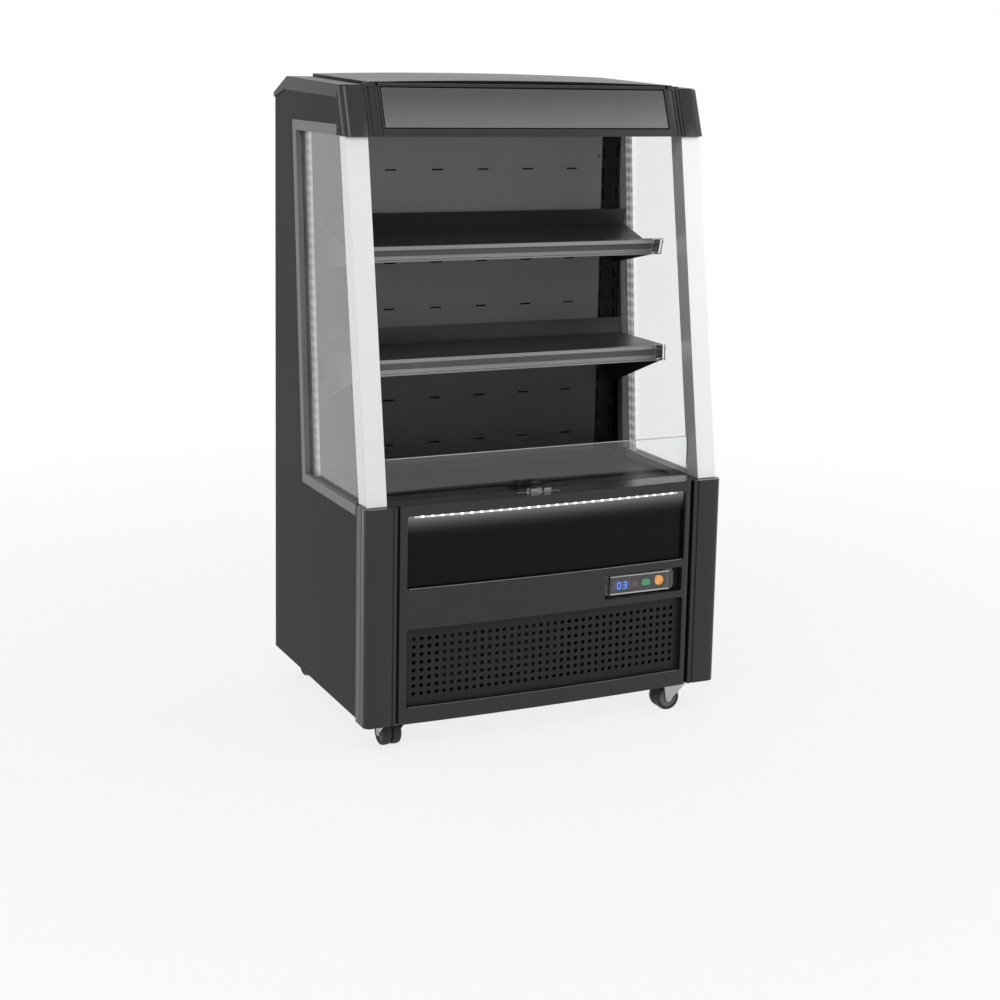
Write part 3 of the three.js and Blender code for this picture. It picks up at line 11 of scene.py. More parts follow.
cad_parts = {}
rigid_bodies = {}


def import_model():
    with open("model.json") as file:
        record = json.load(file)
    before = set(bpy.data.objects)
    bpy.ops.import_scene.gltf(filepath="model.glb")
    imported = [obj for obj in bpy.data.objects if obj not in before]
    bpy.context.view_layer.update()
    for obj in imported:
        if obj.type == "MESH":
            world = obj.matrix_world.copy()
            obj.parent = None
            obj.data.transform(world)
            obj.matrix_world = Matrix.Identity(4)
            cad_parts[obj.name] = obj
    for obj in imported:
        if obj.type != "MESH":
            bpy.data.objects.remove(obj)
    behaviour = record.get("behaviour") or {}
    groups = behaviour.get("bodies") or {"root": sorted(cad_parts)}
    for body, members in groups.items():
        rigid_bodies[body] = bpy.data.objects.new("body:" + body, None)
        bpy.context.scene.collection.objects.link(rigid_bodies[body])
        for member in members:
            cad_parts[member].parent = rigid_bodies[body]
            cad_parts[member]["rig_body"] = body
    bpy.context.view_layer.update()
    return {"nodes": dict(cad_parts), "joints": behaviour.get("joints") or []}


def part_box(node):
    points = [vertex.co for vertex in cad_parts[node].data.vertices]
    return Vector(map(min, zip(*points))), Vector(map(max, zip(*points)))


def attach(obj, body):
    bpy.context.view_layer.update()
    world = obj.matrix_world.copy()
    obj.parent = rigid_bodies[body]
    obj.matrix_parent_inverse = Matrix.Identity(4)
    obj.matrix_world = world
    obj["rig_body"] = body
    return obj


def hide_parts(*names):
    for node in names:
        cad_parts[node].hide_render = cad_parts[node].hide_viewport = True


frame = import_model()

MM = 0.001
Y_SHIFT = 261.0
NODES = frame["nodes"]
JOINTS = {joint["name"]: joint for joint in frame["joints"]}

# Sizes in millimetres
RECESS_HALF = 294.0
FASCIA_HALF = RECESS_HALF - 0.3
LIP_HALF = RECESS_HALF - 4
LAMP_HALF = RECESS_HALF - 16
FASCIA_BOW = 7.5
GRILLE_SETBACK = 11.0
GRILLE_SHEET = 2.5
GRILLE_CORNER = 5.0
GRILLE_Z = (87.5, 238.3)
HOLE_COLUMNS = 37
HOLE_ROWS = 8
HOLE_PITCH = (15.28, 15.1)
HOLE_RADIUS = 4.0
LED_PITCH = 19.5
LED_SIZE = (5, 2, 3.4)
SIDE_LED_PITCH = 20.0
DISPLAY_TOP = 453.2
DIGIT_CENTRES = (155.5, 168.0)
DIGIT_Z = 273.2
PIN_Y = 13.7
HOOK_Y = 372.0
DUCT_FRONT = 337
RAIL_HEIGHT = 32
RAIL_HALF = 303
RAIL_END = 326
RACE_Z = 53.0

# Angles in degrees: the rockers' tip at rest, the least angle of an edge that is kept sharp or
# broken, and the most between CAD faces that are merged as flat
ROCKER_REST = 7.0
SHARP = 32.0
FLAT = 0.25

# Surfaces: the span of noise that is used, the depth of the grain in metres, the lamps, and how
# fast the painted glow falls off
NOISE_SPAN = (0.3, 0.7)
GRAIN_DEPTH = 0.00004
LAMP_GRAIN = 260.0
LAMP_WHITE = (0.95, 0.98, 1.0)
PAINTED_GLOW_POWER = 3.0

# Studio: the world's strength where it only lights and where it is seen, and the floor's half
# width in metres, its grey, and the distances and shares between which it turns white
WORLD_STRENGTH = (0.45, 1.0)
FLOOR_HALF = 14.0
FLOOR_GREY = 0.9
FLOOR_RIM = (1.0, 2.6)
FLOOR_WHITE = (0.8, 1.0)


def at(x, y, z):
    """A point of the CAD source, in the row frame in metres."""
    return Vector((x * MM, (y - Y_SHIFT) * MM, z * MM))


# ---------------------------------------------------------------- camera

CAMERA_PLACE = (-1556.5172, -3036.8347, 1283.5015)
CAMERA_YAW, CAMERA_PITCH, CAMERA_ROLL = 0.4434, 0.1698, 0.0198
CAMERA_SENSOR = 36.0
CAMERA_LENS = 66.725
CAMERA_SHIFT_Y = -0.1257
CAMERA_CLIP_END = 100.0


def make_camera():
    yaw, pitch, roll = CAMERA_YAW, CAMERA_PITCH, CAMERA_ROLL
    forward = Vector((
        math.sin(yaw) * math.cos(pitch), math.cos(yaw) * math.cos(pitch), -math.sin(pitch),
    ))
    right = Vector((math.cos(yaw), -math.sin(yaw), 0))
    up = right.cross(forward)
    turned_right = math.cos(roll) * right + math.sin(roll) * up
    turned_up = -math.sin(roll) * right + math.cos(roll) * up
    data = bpy.data.cameras.new("camera")
    data.sensor_width = CAMERA_SENSOR
    data.lens = CAMERA_LENS
    data.shift_y = CAMERA_SHIFT_Y
    data.clip_end = CAMERA_CLIP_END
    camera = bpy.data.objects.new("camera", data)
    bpy.context.scene.collection.objects.link(camera)
    turn = Matrix((turned_right, turned_up, -forward)).transposed()
    place = Vector(CAMERA_PLACE) * MM - Vector((0, Y_SHIFT * MM, 0))
    camera.matrix_world = Matrix.Translation(place) @ turn.to_4x4()
    bpy.context.scene.camera = camera


make_camera()


# ---------------------------------------------------------------- materials

class Nodes:
    """Small help for building a node material round one Principled shader."""

    def __init__(self, name):
        self.material = bpy.data.materials.new(name)
        self.material.use_nodes = True
        self.tree = self.material.node_tree
        self.shader = self.tree.nodes["Principled BSDF"]

    def add(self, kind, **values):
        node = self.tree.nodes.new(kind)
        for key, value in values.items():
            setattr(node, key, value)
        return node

    def link(self, a, b):
        self.tree.links.new(a, b)

    def maths(self, operation, *values):
        """A maths node. Each value is a socket or a number."""
        node = self.add("ShaderNodeMath", operation=operation)
        for value, socket in zip(values, node.inputs):
            if isinstance(value, bpy.types.NodeSocket):
                self.link(value, socket)
            else:
                socket.default_value = value
        return node.outputs[0]

    def height(self):
        coords = self.add("ShaderNodeTexCoord")
        split = self.add("ShaderNodeSeparateXYZ")
        self.link(coords.outputs["Object"], split.inputs[0])
        return split.outputs["Z"]

    def mapped(self, value, source, target=(0.0, 1.0)):
        """The value taken from one range to another, and held at its ends."""
        node = self.add("ShaderNodeMapRange")
        names = ("From Min", "From Max", "To Min", "To Max")
        for name, end in zip(names, (*source, *target)):
            node.inputs[name].default_value = end
        self.link(value, node.inputs["Value"])
        return node.outputs["Result"]

    def place(self, stretch):
        coords = self.add("ShaderNodeTexCoord")
        mapping = self.add("ShaderNodeMapping")
        mapping.inputs["Scale"].default_value = stretch
        self.link(coords.outputs["Object"], mapping.inputs["Vector"])
        return mapping.outputs["Vector"]

    def noise(self, vector, scale, detail=3.0):
        node = self.add("ShaderNodeTexNoise")
        node.inputs["Scale"].default_value = scale
        node.inputs["Detail"].default_value = detail
        self.link(vector, node.inputs["Vector"])
        return node.outputs["Fac"]

    def ranged(self, value, low, high):
        return self.mapped(value, NOISE_SPAN, (low, high))

    def blend(self, factor, a, b):
        node = self.add("ShaderNodeMix", data_type="RGBA")
        for socket in node.inputs:
            if socket.type == "RGBA":
                socket.default_value = (*(a if socket.name == "A" else b), 1)
        self.link(factor, node.inputs["Factor"])
        return next(socket for socket in node.outputs if socket.type == "RGBA")

    def fade(self, colour, bottom, top, low, high):
        """Painted light and shade: the colour scaled by a share that changes with height."""
        share = self.mapped(self.height(), (bottom, top), (low, high))
        scaled = self.add("ShaderNodeVectorMath", operation="SCALE")
        self.link(colour, scaled.inputs[0])
        self.link(share, scaled.inputs["Scale"])
        return scaled.outputs["Vector"]

    def painted_glow(self, bottom, top, strength):
        """Painted glow: emission standing in for light spilled on the surface by the lamps above
        it, strongest at the top.
        """
        share = self.mapped(self.height(), (bottom, top))
        level = self.maths("MULTIPLY", self.maths("POWER", share, PAINTED_GLOW_POWER), strength)
        self.shader.inputs["Emission Color"].default_value = (*LAMP_WHITE, 1)
        self.link(level, self.shader.inputs["Emission Strength"])

    def bump(self, height, strength, distance):
        node = self.add("ShaderNodeBump")
        node.inputs["Strength"].default_value = strength
        node.inputs["Distance"].default_value = distance
        self.link(height, node.inputs["Height"])
        self.link(node.outputs["Normal"], self.shader.inputs["Normal"])


def surface(name, colour, rough, vary=0.06, grain=900.0, bump=0.25, metal=0.0,
            stretch=(1, 1, 1), cloud=4.0, spread=0.015, specular=0.35, coat=0.0,
            fade=None, painted_glow=None):
    """Coated, moulded or metal surface: fine grain, slow clouding of colour and uneven gloss, and
    where asked painted light and shade by height and a painted glow.
    """
    n = Nodes(name)
    clouds = n.noise(n.place((1, 1, 1)), cloud)
    fine = n.noise(n.place(stretch), grain, 2.0)
    mixed = n.maths("MULTIPLY_ADD", clouds, 0.5, n.maths("MULTIPLY", fine, 0.5))
    dark = tuple(c * (1 - vary) for c in colour)
    light = tuple(min(1.0, c * (1 + vary)) for c in colour)
    shade = n.blend(n.ranged(mixed, 0.0, 1.0), dark, light)
    # painted light and shade by height, where asked
    n.link(n.fade(shade, *fade) if fade else shade, n.shader.inputs["Base Color"])
    n.link(n.ranged(clouds, rough - spread, rough + spread), n.shader.inputs["Roughness"])
    n.shader.inputs["Metallic"].default_value = metal
    n.shader.inputs["Specular IOR Level"].default_value = specular
    n.shader.inputs["Coat Weight"].default_value = coat
    n.bump(fine, bump, GRAIN_DEPTH)
    # painted glow, where asked
    if painted_glow:
        n.painted_glow(*painted_glow)
    return n.material


def clear(name, colour, rough, ior, specular=0.5):
    """Glass or clear plastic, with a faint unevenness."""
    n = Nodes(name)
    waves = n.noise(n.place((1, 1, 1)), 14.0)
    n.link(n.ranged(waves, rough, rough + 0.02), n.shader.inputs["Roughness"])
    n.shader.inputs["Base Color"].default_value = (*colour, 1)
    n.shader.inputs["Transmission Weight"].default_value = 1.0
    n.shader.inputs["IOR"].default_value = ior
    n.shader.inputs["Specular IOR Level"].default_value = specular
    n.bump(waves, 0.04, 0.0002)
    return n.material


def lamp(name, colour, low, high, base):
    """Lit surface whose brightness varies as phosphor or a lens does."""
    n = Nodes(name)
    speckle = n.noise(n.place((1, 1, 1)), LAMP_GRAIN)
    n.link(n.ranged(speckle, low, high), n.shader.inputs["Emission Strength"])
    n.shader.inputs["Emission Color"].default_value = (*colour, 1)
    shade = n.blend(n.ranged(speckle, 0, 1), tuple(c * 0.8 for c in base), base)
    n.link(shade, n.shader.inputs["Base Color"])
    n.shader.inputs["Roughness"].default_value = 0.25
    return n.material


def banded_light(name):
    """Light channel with lamps evenly spaced in height behind a frosted cover."""
    n = Nodes(name)
    turn = n.maths("MULTIPLY", n.height(), 2 * math.pi / (SIDE_LED_PITCH * MM))
    level = n.mapped(n.maths("SINE", turn), (-0.4, 0.8), (0.1, 0.24))
    n.link(level, n.shader.inputs["Emission Strength"])
    n.shader.inputs["Emission Color"].default_value = (1, 1, 1, 1)
    shade = n.blend(level, (0.34, 0.345, 0.35), (0.48, 0.49, 0.5))
    n.link(shade, n.shader.inputs["Base Color"])
    n.shader.inputs["Roughness"].default_value = 0.4
    return n.material


LONG_X = (0.02, 1, 1)
LONG_Z = (1, 1, 0.02)
M = {
    "coat": surface("powder_coat", (0.022, 0.0225, 0.024), 0.42, bump=0.3),
    "liner": surface("liner_coat", (0.030, 0.0305, 0.032), 0.36),
    "moulding": surface("moulded_shell", (0.014, 0.0142, 0.015), 0.2, grain=1500.0, bump=0.1,
                        specular=0.45),
    "gloss": surface("gloss_shell", (0.008, 0.0082, 0.009), 0.3, grain=300.0, bump=0.03,
                     specular=0.08),
    "grey": surface("grey_profile", (0.20, 0.203, 0.208), 0.45, stretch=LONG_Z, metal=0.2),
    "bright": surface("bright_profile", (0.83, 0.835, 0.84), 0.34, vary=0.05, stretch=LONG_Z,
                      metal=0.55, grain=1400.0, bump=0.12),
    "rail": surface("rail_profile", (0.23, 0.232, 0.236), 0.28, vary=0.16, stretch=LONG_X,
                    metal=0.95, grain=1600.0, bump=0.2),
    "rail_bed": surface("rail_bed", (0.085, 0.086, 0.088), 0.35, vary=0.2, stretch=LONG_X,
                        metal=0.5, grain=1200.0),
    "zinc": surface("zinc_plate", (0.42, 0.425, 0.43), 0.32, vary=0.12, metal=0.95,
                    grain=500.0, cloud=60.0),
    "galvanised": surface("galvanised_sheet", (0.36, 0.37, 0.38), 0.42, vary=0.25, metal=0.85,
                          cloud=70.0),
    "tread": surface("wheel_tread", (0.030, 0.030, 0.031), 0.62, grain=700.0, bump=0.4),
    "core": surface("wheel_core", (0.20, 0.20, 0.205), 0.5, vary=0.1),
    "hub": surface("wheel_hub", (0.045, 0.045, 0.047), 0.45),
    "side": surface("side_coat", (0.008, 0.0082, 0.009), 0.5, specular=0.13),
    # display face: painted glow, emission strongest just under the lamp strip
    "panel": surface("display_face", (0.005, 0.005, 0.0055), 0.22, grain=300.0, bump=0.03,
                     spread=0.03, specular=0.1, painted_glow=(0.405, 0.4535, 0.26)),
    # header face: painted light and shade by height, a dark band at the top and lighter below
    "header": surface("header_face", (0.045, 0.0455, 0.047), 0.2, grain=300.0, bump=0.03,
                      spread=0.03, specular=0.9, coat=0.7, fade=(1.155, 1.212, 2.4, 0.1)),
    # duct: painted shade, darker towards the bottom and lighter towards the top
    "duct": surface("duct_coat", (0.27, 0.273, 0.279), 0.5, specular=0.3,
                    fade=(0.5, 1.13, 0.13, 1.0)),
    "deck": surface("deck_coat", (0.009, 0.0092, 0.010), 0.38, specular=0.1),
    "grille": surface("grille_coat", (0.018, 0.0182, 0.019), 0.45, specular=0.2),
    # rolled lip: lighter grey than the black moulding, a painted highlight on top of its real gloss
    "lip": surface("rolled_lip_painted_highlight", (0.15, 0.152, 0.156), 0.18, grain=300.0, bump=0.03,
                   spread=0.03, stretch=LONG_X, specular=0.9, coat=0.8),
    "upright": surface("upright_coat", (0.006, 0.0061, 0.0065), 0.5, specular=0.12),
    "coil": surface("coil_finish", (0.035, 0.0355, 0.036), 0.6, metal=0.3, stretch=LONG_Z),
    # riser glass edge and cover ridges: light opaque colour, a painted highlight
    "edge": surface("edge_painted_highlight", (0.62, 0.66, 0.65), 0.2, vary=0.08, stretch=LONG_X,
                    specular=0.6),
    "screw": surface("screw_head", (0.10, 0.10, 0.105), 0.35, metal=0.8, cloud=200.0),
    "glass": clear("sheet_glass", (0.95, 0.965, 0.96), 0.0, 1.5, specular=0.14),
    "acrylic": clear("clear_moulding", (0.97, 0.975, 0.98), 0.02, 1.46),
    "cover": clear("clear_cover", (0.97, 0.975, 0.98), 0.01, 1.49, specular=0.1),
    "lamp": lamp("lamp_lens", LAMP_WHITE, 2.2, 3.4, (0.9, 0.92, 0.95)),
    "board": lamp("lamp_board", LAMP_WHITE, 0.3, 0.5, (0.55, 0.56, 0.57)),
    "band": banded_light("side_lamp_channel"),
    "green": lamp("green_lens", (0.02, 0.55, 0.20), 0.14, 0.3, (0.004, 0.22, 0.08)),
    "amber": lamp("amber_lens", (1.0, 0.42, 0.03), 0.3, 0.55, (0.75, 0.28, 0.01)),
    "blue": lamp("blue_window", (0.02, 0.09, 0.45), 0.03, 0.12, (0.006, 0.018, 0.09)),
    "digits": lamp("display_digits", (0.04, 0.22, 1.0), 1.2, 1.8, (0.1, 0.3, 0.7)),
    "brown": lamp("brown_lens", (0.20, 0.05, 0.02), 0.1, 0.3, (0.10, 0.03, 0.015)),
}


# ---------------------------------------------------------------- mesh help

def add_object(name, mesh, material, bevel=0.0, segments=2):
    mesh.materials.clear()
    mesh.materials.append(M[material])
    mesh.shade_smooth()
    mesh.set_sharp_from_angle(angle=math.radians(SHARP))
    piece = bpy.data.objects.new(name, mesh)
    bpy.context.scene.collection.objects.link(piece)
    if bevel:
        edge = piece.modifiers.new("edge", "BEVEL")
        edge.width = bevel * MM
        edge.segments = segments
        edge.limit_method = "ANGLE"
        edge.angle_limit = math.radians(SHARP)
        edge.harden_normals = True
        edge.use_clamp_overlap = True
    return piece


def from_bmesh(name, bm, material, **look):
    bmesh.ops.recalc_face_normals(bm, faces=bm.faces)
    mesh = bpy.data.meshes.new(name)
    bm.to_mesh(mesh)
    bm.free()
    return add_object(name, mesh, material, **look)


def restyle(node, material, bevel, segments=2):
    """A clean copy of a CAD node, its flat faces merged and its edges broken, in its place."""
    bm = bmesh.new()
    bm.from_mesh(NODES[node].data)
    bmesh.ops.remove_doubles(bm, verts=bm.verts, dist=2e-5)
    bmesh.ops.dissolve_limit(bm, angle_limit=math.radians(FLAT), verts=bm.verts, edges=bm.edges)
    piece = from_bmesh(f"{node}_finish", bm, material, bevel=bevel, segments=segments)
    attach(piece, NODES[node]["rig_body"])
    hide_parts(node)


def prism(name, outline, axis, start, end, material, body="cabinet", **look):
    """An outline drawn in the two other axes, in order, taken along one axis."""
    place = {
        "x": lambda a, b, c: at(c, a, b),
        "y": lambda a, b, c: at(a, c, b),
        "z": lambda a, b, c: at(a, b, c),
    }[axis]
    bm = bmesh.new()
    low = [bm.verts.new(place(a, b, start)) for a, b in outline]
    high = [bm.verts.new(place(a, b, end)) for a, b in outline]
    bm.faces.new(low)
    bm.faces.new(high)
    count = len(outline)
    for i in range(count):
        j = (i + 1) % count
        bm.faces.new((low[i], low[j], high[j], high[i]))
    piece = from_bmesh(name, bm, material, **look)
    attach(piece, body)
    return piece


def turned(profile, steps=40):
    """A bmesh turned about the X axis from (along, radius) points, closed where the radius is 0."""
    bm = bmesh.new()
    rings = []
    for along, radius in profile:
        if radius < 1e-6:
            rings.append([bm.verts.new((along * MM, 0, 0))])
            continue
        rings.append([
            bm.verts.new((along * MM, radius * MM * math.cos(2 * math.pi * i / steps),
                          radius * MM * math.sin(2 * math.pi * i / steps)))
            for i in range(steps)
        ])
    for a, b in zip(rings, rings[1:]):
        for i in range(steps):
            j = (i + 1) % steps
            corners = [a[i % len(a)], a[j % len(a)], b[j % len(b)], b[i % len(b)]]
            distinct = list(dict.fromkeys(corners))
            if len(distinct) > 2:
                bm.faces.new(distinct)
    return bm


def spun(name, profile, material, place, turn, body, steps=40, closed=False):
    """A turned piece set at a point of the shared frame, its axis turned from X by a matrix."""
    bm = turned(profile + profile[:1] if closed else profile, steps)
    bmesh.ops.remove_doubles(bm, verts=bm.verts, dist=1e-7)
    bm.transform(Matrix.Translation(place) @ turn.to_4x4())
    piece = from_bmesh(name, bm, material)
    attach(piece, body)
    return piece


TO_X = Matrix.Identity(3)
TO_Y = Matrix.Rotation(math.pi / 2, 3, "Z")
TO_Z = Matrix.Rotation(-math.pi / 2, 3, "Y")
TO_LEFT = Matrix.Rotation(math.pi, 3, "Z")
TO_FRONT = Matrix.Rotation(-math.pi / 2, 3, "Z")


def bow(x, setback):
    """Y of the fascia's bow at x, set back by a distance."""
    return setback - FASCIA_BOW * (1 - (x / FASCIA_HALF) ** 2)


def bowed_strip(half, front, rear, steps=40):
    """Outline in plan of a strip between two setbacks of the bow."""
    xs = [-half + 2 * half * i / steps for i in range(steps + 1)]
    return [(x, bow(x, front)) for x in xs] + [(x, bow(x, rear)) for x in reversed(xs)]


# ---------------------------------------------------------------- body, roof and canopy

# Each node's finish, and the width and segments of its broken edges
SIDE_FINISHES = {
    "side_panel": ("side", 1.0),
    "window_frame": ("grey", 0.5),
    "front_pillar": ("bright", 1.2, 3),
    "corner_post": ("moulding", 0.7),
    "canopy_corner": ("moulding", 0.7),
    "shelf_upright": ("upright", 0.25),
    "side_glass": ("glass", 0.4),
    "side_light_strip": ("band", 0.5),
    "bracket_lower": ("liner", 0.3),
    "bracket_upper": ("liner", 0.3),
}
FINISHES = {
    "rear_panel": ("side", 0.8),
    "service_cover": ("side", 0.4),
    "cold_tub": ("liner", 0.8),
    "ceiling_panel": ("liner", 0.8),
    "roof_cap": ("coat", 0.5),
    "hood_cover": ("gloss", 1.0, 3),
    "canopy_header": ("moulding", 0.9, 3),
    "header_panel": ("header", 1.0, 3),
    "front_fascia": ("moulding", 1.4, 3),
    "display_panel": ("panel", 0.5),
    "front_sill": ("moulding", 0.4),
    "front_glass": ("glass", 0.5),
    "deck_pan": ("deck", 0.4),
    "duct_panel": ("duct", 0.2),
    "shelf_lower": ("liner", 0.3),
    "shelf_upper": ("liner", 0.3),
    "base_chassis": ("galvanised", 0.4),
    "compressor": ("coat", 0.8),
    "condenser": ("coil", 0.3),
    "condenser_fan": ("moulding", 0.2),
    "evaporator": ("galvanised", 0.3),
    "evaporator_fan": ("moulding", 0.2),
    "sill_catch": ("zinc", 0.3),
    "control_plate": ("upright", 0.4),
    "clear_cover": ("cover", 1.2, 3),
}
for side in ("left", "right"):
    for node, finish in SIDE_FINISHES.items():
        restyle(f"{side}_{node}", *finish)
for node, finish in FINISHES.items():
    restyle(node, *finish)


# ---------------------------------------------------------------- perforated grille

def vent_grille():
    """Bowed sheet with round holes: a ring of quads round each hole, then the plain margin."""
    px, pz = HOLE_PITCH
    z_low, z_high = GRILLE_Z
    middle = (z_low + z_high) / 2
    per_side = 4
    around = 4 * per_side
    bm = bmesh.new()

    def vertex(x, z):
        return bm.verts.new(at(x, bow(x, GRILLE_SETBACK), z))

    def square(i, cx, cz):
        side, step = divmod(i, per_side)
        t = step / per_side * 2 - 1
        u, v = [(t, -1), (1, t), (-t, 1), (-1, -t)][side]
        return cx + u * px / 2, cz + v * pz / 2

    for column in range(HOLE_COLUMNS):
        for row in range(HOLE_ROWS):
            cx = (column - (HOLE_COLUMNS - 1) / 2) * px
            cz = middle + (row - (HOLE_ROWS - 1) / 2) * pz
            outer = [vertex(*square(i, cx, cz)) for i in range(around)]
            inner = []
            for i in range(around):
                x, z = square(i, cx, cz)
                angle = math.atan2(z - cz, x - cx)
                inner.append(vertex(
                    cx + HOLE_RADIUS * math.cos(angle), cz + HOLE_RADIUS * math.sin(angle),
                ))
            for i in range(around):
                j = (i + 1) % around
                bm.faces.new((outer[i], outer[j], inner[j], inner[i]))
    half_x = HOLE_COLUMNS * px / 2
    half_z = HOLE_ROWS * pz / 2
    xs = [-half_x + i * px / per_side for i in range(HOLE_COLUMNS * per_side + 1)]
    zs = [middle - half_z + i * pz / per_side for i in range(HOLE_ROWS * per_side + 1)]
    for a, b in zip(xs, xs[1:]):
        for near, far in ((zs[0], z_low), (zs[-1], z_high)):
            corners = [(a, near), (b, near), (b, far), (a, far)]
            bm.faces.new([vertex(x, z) for x, z in corners])
    for a, b in zip(zs, zs[1:]):
        for near, far in ((xs[0], -FASCIA_HALF), (xs[-1], FASCIA_HALF)):
            corners = [(near, a), (near, b), (far, b), (far, a)]
            bm.faces.new([vertex(x, z) for x, z in corners])
    for sx, sz in ((-1, -1), (1, -1), (1, 1), (-1, 1)):
        edge_z = z_low if sz < 0 else z_high
        inner_z = zs[0] if sz < 0 else zs[-1]
        points = [(sx * half_x, inner_z), (sx * FASCIA_HALF, inner_z)]
        for i in range(6):
            angle = math.pi / 2 * i / 5
            points.append((
                sx * (FASCIA_HALF - GRILLE_CORNER + GRILLE_CORNER * math.cos(angle)),
                edge_z - sz * (GRILLE_CORNER - GRILLE_CORNER * math.sin(angle)),
            ))
        points.append((sx * half_x, edge_z))
        bm.faces.new([vertex(x, z) for x, z in points])
    bmesh.ops.remove_doubles(bm, verts=bm.verts, dist=1e-6)
    bmesh.ops.recalc_face_normals(bm, faces=bm.faces)
    made = bmesh.ops.extrude_face_region(bm, geom=list(bm.faces), use_keep_orig=True)
    moved = [v for v in made["geom"] if isinstance(v, bmesh.types.BMVert)]
    bmesh.ops.translate(bm, verts=moved, vec=(0, GRILLE_SHEET * MM, 0))
    piece = from_bmesh("grille_sheet", bm, "grille")
    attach(piece, "cabinet")
    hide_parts("vent_grille")


vent_grille()


# ---------------------------------------------------------------- rolled lips of the two recesses

def recess_lip(name, z, high, rear):
    """Bowed bead along the lower edge of a recess, which catches the light from above; its grey,
    lighter than the black moulding, is partly a painted highlight.
    """
    plan = bowed_strip(LIP_HALF, 0.9, rear)
    prism(name, plan, "z", z - 0.2, z + high, "lip", bevel=0.45, segments=3)


recess_lip("display_lip", 314.6, 1.5, 4.4)
recess_lip("grille_lip", 87.2, 0.9, 3.0)


# ---------------------------------------------------------------- lamps over the dark panel

def front_lamps():
    """A board under the top of the recess, and a row of lamps along its front."""
    top = DISPLAY_TOP - 0.3
    bed = 6.4
    plan = bowed_strip(LAMP_HALF, bed, bed + 2)
    board = prism("lamp_strip", plan, "z", top - 5, top, "board", bevel=0.2)
    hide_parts("front_light_strip")
    count = int((2 * LAMP_HALF - 20) / LED_PITCH) + 1
    bm = bmesh.new()
    for i in range(count):
        x = (i - (count - 1) / 2) * LED_PITCH
        made = bmesh.ops.create_cube(bm, size=1)
        bmesh.ops.scale(bm, verts=made["verts"], vec=[s * MM for s in LED_SIZE])
        bmesh.ops.translate(bm, verts=made["verts"], vec=at(x, bow(x, bed) - 0.8, top - 2.6))
    lenses = from_bmesh("lamp_lenses", bm, "lamp", bevel=0.7, segments=3)
    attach(lenses, "cabinet")


front_lamps()


# ---------------------------------------------------------------- ticket rails

def rail(name, z, depth, tilt, rise):
    """Extruded rail with a bevelled top band, a label bed and a lower lip, and clear end caps."""
    rear = -depth + 9
    top, bottom = rise, rise - RAIL_HEIGHT
    section = [
        (rear, bottom), (rear, top), (rear - 3, top), (rear - 5.5, top - 1.4), (rear - 9, top - 8),
        (rear - 7, top - 9), (rear - 7, bottom + 4.4), (rear - 9, bottom + 3.2), (rear - 9, bottom),
    ]
    bed = [
        (rear - 8.2, top - 10), (rear - 7.02, top - 10),
        (rear - 7.02, bottom + 12), (rear - 8.2, bottom + 12),
    ]
    angle = math.radians(tilt)

    def tilted(points):
        return [
            (
                HOOK_Y + y * math.cos(angle) - dz * math.sin(angle),
                z + y * math.sin(angle) + dz * math.cos(angle),
            )
            for y, dz in points
        ]

    outline = tilted(section)
    metal = prism(f"rail_{name}_metal", outline, "x", -RAIL_HALF, RAIL_HALF, "rail",
                  bevel=0.5, segments=3)
    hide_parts(f"ticket_rail_{name}")
    prism(f"rail_{name}_bed", tilted(bed), "x", 1 - RAIL_HALF, RAIL_HALF - 1, "rail_bed",
          bevel=0.3)
    caps = (("left", -RAIL_END, -RAIL_HALF - 0.1), ("right", RAIL_HALF + 0.1, RAIL_END))
    for side, start, end in caps:
        prism(f"rail_{name}_end_{side}", outline, "x", start, end, "acrylic",
              bevel=1.2, segments=3)

rail("lower", 719.0, 222.0, 0.0, 0.0)
rail("upper", 958.0, 200.0, 16.0, 27.0)


# ---------------------------------------------------------------- controls

def panel_block(name, x, z, y, material, bevel=0.4):
    outline = [(x[0], z[0]), (x[1], z[0]), (x[1], z[1]), (x[0], z[1])]
    return prism(name, outline, "y", y[0], y[1], material, bevel=bevel)


def display():
    """A dark window with two seven-bar figures, a plain temperature reading, and a lens."""
    window = panel_block("display_window", (142.9, 180.7), (264.2, 282.2), (9.7, 22.0), "blue")
    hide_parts("display_module")
    bars = {
        "a": (0, 1), "b": (1, 0.5), "c": (1, -0.5), "d": (0, -1), "e": (-1, -0.5),
        "f": (-1, 0.5), "g": (0, 0),
    }
    bm = bmesh.new()
    for centre, lit in zip(DIGIT_CENTRES, ("abcdef", "abcdg")):
        for key in lit:
            u, v = bars[key]
            size = (5.4, 0.5, 1.3) if u == 0 else (1.3, 0.5, 5.4)
            made = bmesh.ops.create_cube(bm, size=1)
            bmesh.ops.scale(bm, verts=made["verts"], vec=[s * MM for s in size])
            place = at(centre + u * 3.4, 9.5, DIGIT_Z + v * 6.2)
            bmesh.ops.translate(bm, verts=made["verts"], vec=place)
    figures = from_bmesh("display_figures", bm, "digits", bevel=0.15)
    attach(figures, "cabinet")
    panel_block("status_lens", (186.0, 196.0), (268.0, 278.0), (9.6, 11.0), "brown", bevel=0.5)


